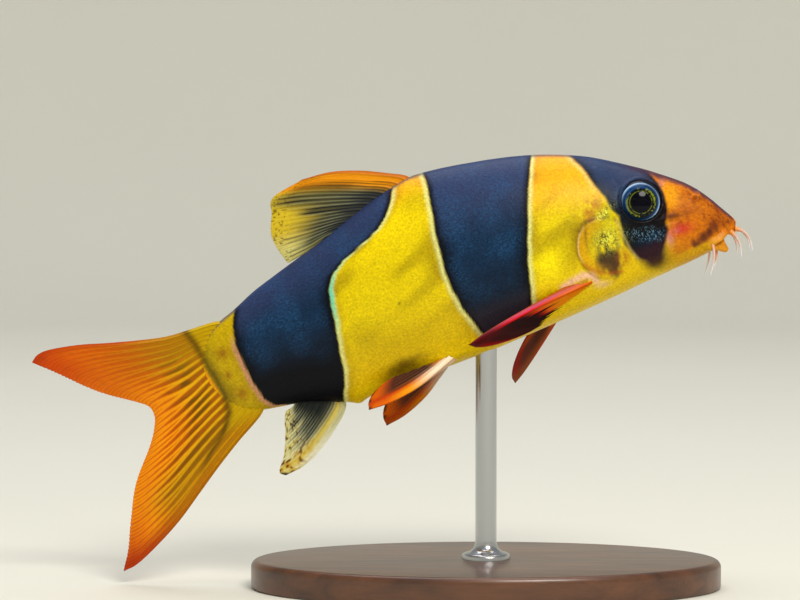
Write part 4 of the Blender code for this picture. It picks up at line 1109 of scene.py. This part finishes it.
def makeBarbels():
    finish = Finish("barbelSkin", roughness=0.42, coat_weight=0.3, coat_roughness=0.15,
                    subsurface_weight=0.3, subsurface_scale=0.001)
    finish.feed(base_color=finish.attribute("paint", "Color"))
    sides, steps = feeler["sides"], feeler["steps"]
    for name, (*stops, radius) in barbels.items():
        for side, word in ((-1, "right"), (1, "left")):
            root, middle, tip = np.array(stops) * (1, side, 1)
            t = np.linspace(0, 1, steps)[:, None]
            path = root * (1 - t) * (1 - 2 * t) + middle * 4 * t * (1 - t) + tip * t * (2 * t - 1)
            share = t[:, 0]
            tipped = np.clip((share - feeler["tipFrom"]) / feeler["tipRun"], 0, 1)
            radii = radius * (feeler["thick"] - feeler["taper"] * share) * np.sqrt(1 - tipped ** 2)
            radii = radii * (1 + feeler["flare"] * fade(share, 0.25, 0.03) + 0.03 * np.sin(share * 60))
            level = sweptTube(path, radii, sides)
            along = np.concatenate([np.repeat(share, sides), [0, 1]])
            coat = Coat(barbelTones, "middle", len(along))
            coat.lay("root", (along, 0.35, 0.05))
            coat.lay("tip", (along, 0.5, 0.95))
            node = name + "_" + word
            addPiece(node.replace("barbel", "feeler"), placed(level), lathe(steps, sides), finish,
                     (node,), coat.colour)


# The stand: a turned oval base and a rod with a foot, both cut to the solids' sizes
stand = {"length": 66.0, "width": 42.0, "height": 4.0, "edge": 1.0, "rodRadius": 1.5, "footRadius": 3.4,
         "rodOverlap": 1.2, "baseSides": 240, "rodSides": 64, "sharpEdge": 40.0, "woodDark": (46, 24, 13),
         "woodLight": (112, 66, 36), "steel": (196, 198, 202)}


def turnedPiece(name, profile, sides, stretch, finish, replaced):
    turn = turns(sides)
    rings = [np.column_stack([r * np.cos(turn) * stretch[0], r * np.sin(turn) * stretch[1],
                              np.full(sides, z)])
             for r, z in profile]
    points = np.vstack([*rings, [(0, 0, profile[0][1])], [(0, 0, profile[-1][1])]]) * millimetre
    piece = addPiece(name, points, lathe(len(profile), sides), finish, replaced)
    piece.data.set_sharp_from_angle(angle=math.radians(stand["sharpEdge"]))
    return piece


def rounded(radius, low, high, edge):
    # Profile of a disc with rounded edges, from the middle below to the middle above
    turn = np.linspace(0, math.pi / 2, 9)
    foot = [(radius - edge * 0.5 * (1 - math.sin(t)), low + edge * 0.5 * (1 - math.cos(t))) for t in turn]
    top = [(radius - edge * (1 - math.cos(t)), high - edge * (1 - math.sin(t))) for t in turn]
    return [(radius * 0.5, low), *foot, *top, (radius * 0.5, high)]


def woodMaterial():
    finish = Finish("darkWood", roughness=0.34, coat_weight=0.35, coat_roughness=0.18)
    space = finish.place((120.0, 900.0, 900.0))
    grain = finish.noise(space, 0.35, 4.0, distortion=0.6)
    pores = finish.noise(finish.scaled(space, (1.0, 2.5, 2.5)), 1.6, 3.0)
    tone = finish.mixed(grain * 1.6 - 0.3, stand["woodDark"], stand["woodLight"])
    finish.feed(base_color=finish.tinted(tone, 0.72 + pores * 0.5), roughness=0.28 + pores * 0.2)
    finish.bumped(pores, 0.2, 0.00008)
    return finish


def steelMaterial():
    finish = Finish("brushedSteel", base_color=socketTone(stand["steel"]), metallic=1.0)
    space = finish.place((1500.0, 1500.0, 14000.0))
    finish.feed(roughness=0.2 + finish.noise(space, 1.0) * 0.06)
    return finish


def makeStand():
    wood, steel = woodMaterial(), steelMaterial()
    foot, r, wide = stand["height"], stand["rodRadius"], stand["footRadius"]
    turnedPiece("standBase", rounded(stand["length"] / 2, 0.0, foot, stand["edge"]), stand["baseSides"],
                (1.0, stand["width"] / stand["length"]), wood, ("stand_base",))
    top = fishLift[2] + rodMeets[1] + stand["rodOverlap"]
    collar = ((wide * 0.5, 0), (wide, 0), (wide, 0.5), (wide - 0.15, 0.75), (wide - 0.5, 0.9),
              (r + 0.8, 1.1), (r + 0.3, 1.5), (r + 0.06, 2.1), (r, 2.6))
    profile = [(out, foot + up) for out, up in collar] + [(r, top), (r * 0.5, top)]
    turnedPiece("standRod", profile, stand["rodSides"], (1.0, 1.0), steel, ("stand_rod",))


# A plain pale floor that sweeps up all round, soft studio light, and the camera at the photograph's view
view = {"aim": (-0.01207, 0.0, 0.04041), "elevation": 2.5, "distance": 0.45, "lens": 144.6}
studio = {"floor": (222, 220, 208), "flat": 0.72, "sweep": 0.25, "wall": 0.5, "sides": 96, "world": 0.34,
          "sky": (236, 240, 240)}
# Place, size, power and tone of each lamp
lamps = {"keyLight": ((0.16, -0.42, 0.44), (0.24, 0.2), 2.3, (255, 250, 242)),
         "topLight": ((-0.05, 0.15, 0.95), (0.9, 0.9), 6.2, (252, 252, 255))}


def makeStage():
    finish = Finish("paleFloor", roughness=0.8, specular_ior_level=0.2)
    spread = finish.noise(finish.place((6.0, 6.0, 6.0)), 1.0, 3.0)
    finish.feed(base_color=finish.tinted(studio["floor"], 0.97 + spread * 0.06))
    bend = np.linspace(0, math.pi / 2, 16)
    profile = [(studio["flat"] * 0.2, 0.0), (studio["flat"], 0.0)]
    profile += [(studio["flat"] + studio["sweep"] * math.sin(t), studio["sweep"] * (1 - math.cos(t)))
                for t in bend[1:]]
    profile.append((studio["flat"] + studio["sweep"], studio["wall"]))
    turn = turns(studio["sides"])
    points = [(r * math.cos(t), r * math.sin(t), z) for r, z in profile for t in turn] + [(0, 0, 0)]
    faces = [face for face in lathe(len(profile), len(turn)) if max(face) < len(points)]
    meshObject("paleFloor", points, faces, finish)


def aimed(thing, place):
    thing.location = place
    thing.rotation_euler = (Vector(view["aim"]) - Vector(place)).to_track_quat("-Z", "Y").to_euler()


def makeLights():
    for name, (place, size, power, tone) in lamps.items():
        lamp = bpy.data.lights.new(name, "AREA")
        lamp.shape = "ELLIPSE"
        lamp.size, lamp.size_y = size
        lamp.energy = power
        lamp.color = linear(tone)
        aimed(linked(name, lamp), place)
    world = bpy.data.worlds.new("studioWorld")
    world.use_nodes = True
    glow = world.node_tree.nodes["Background"].inputs
    glow["Color"].default_value = (*linear(studio["sky"]), 1)
    glow["Strength"].default_value = studio["world"]
    bpy.context.scene.world = world


def makeCamera():
    camera = linked("photoCamera", bpy.data.cameras.new("photoCamera"))
    lift = math.radians(view["elevation"])
    aimed(camera, Vector(view["aim"]) + Vector((0, -math.cos(lift), math.sin(lift))) * view["distance"])
    camera.data.lens = view["lens"]
    camera.data.clip_start = 0.01
    bpy.context.scene.camera = camera
    bpy.context.scene.view_settings.view_transform = "Standard"


makeCamera()
makeStage()
makeLights()
print("stage, lights and camera are set")
makeSkin()
print("skin is made")
makeEyes()
print("eyes are made")
finFinish = finMaterial()
makeFins()
print("fins are made")
makeBarbels()
print("barbels are made")
makeStand()
print("stand is made")
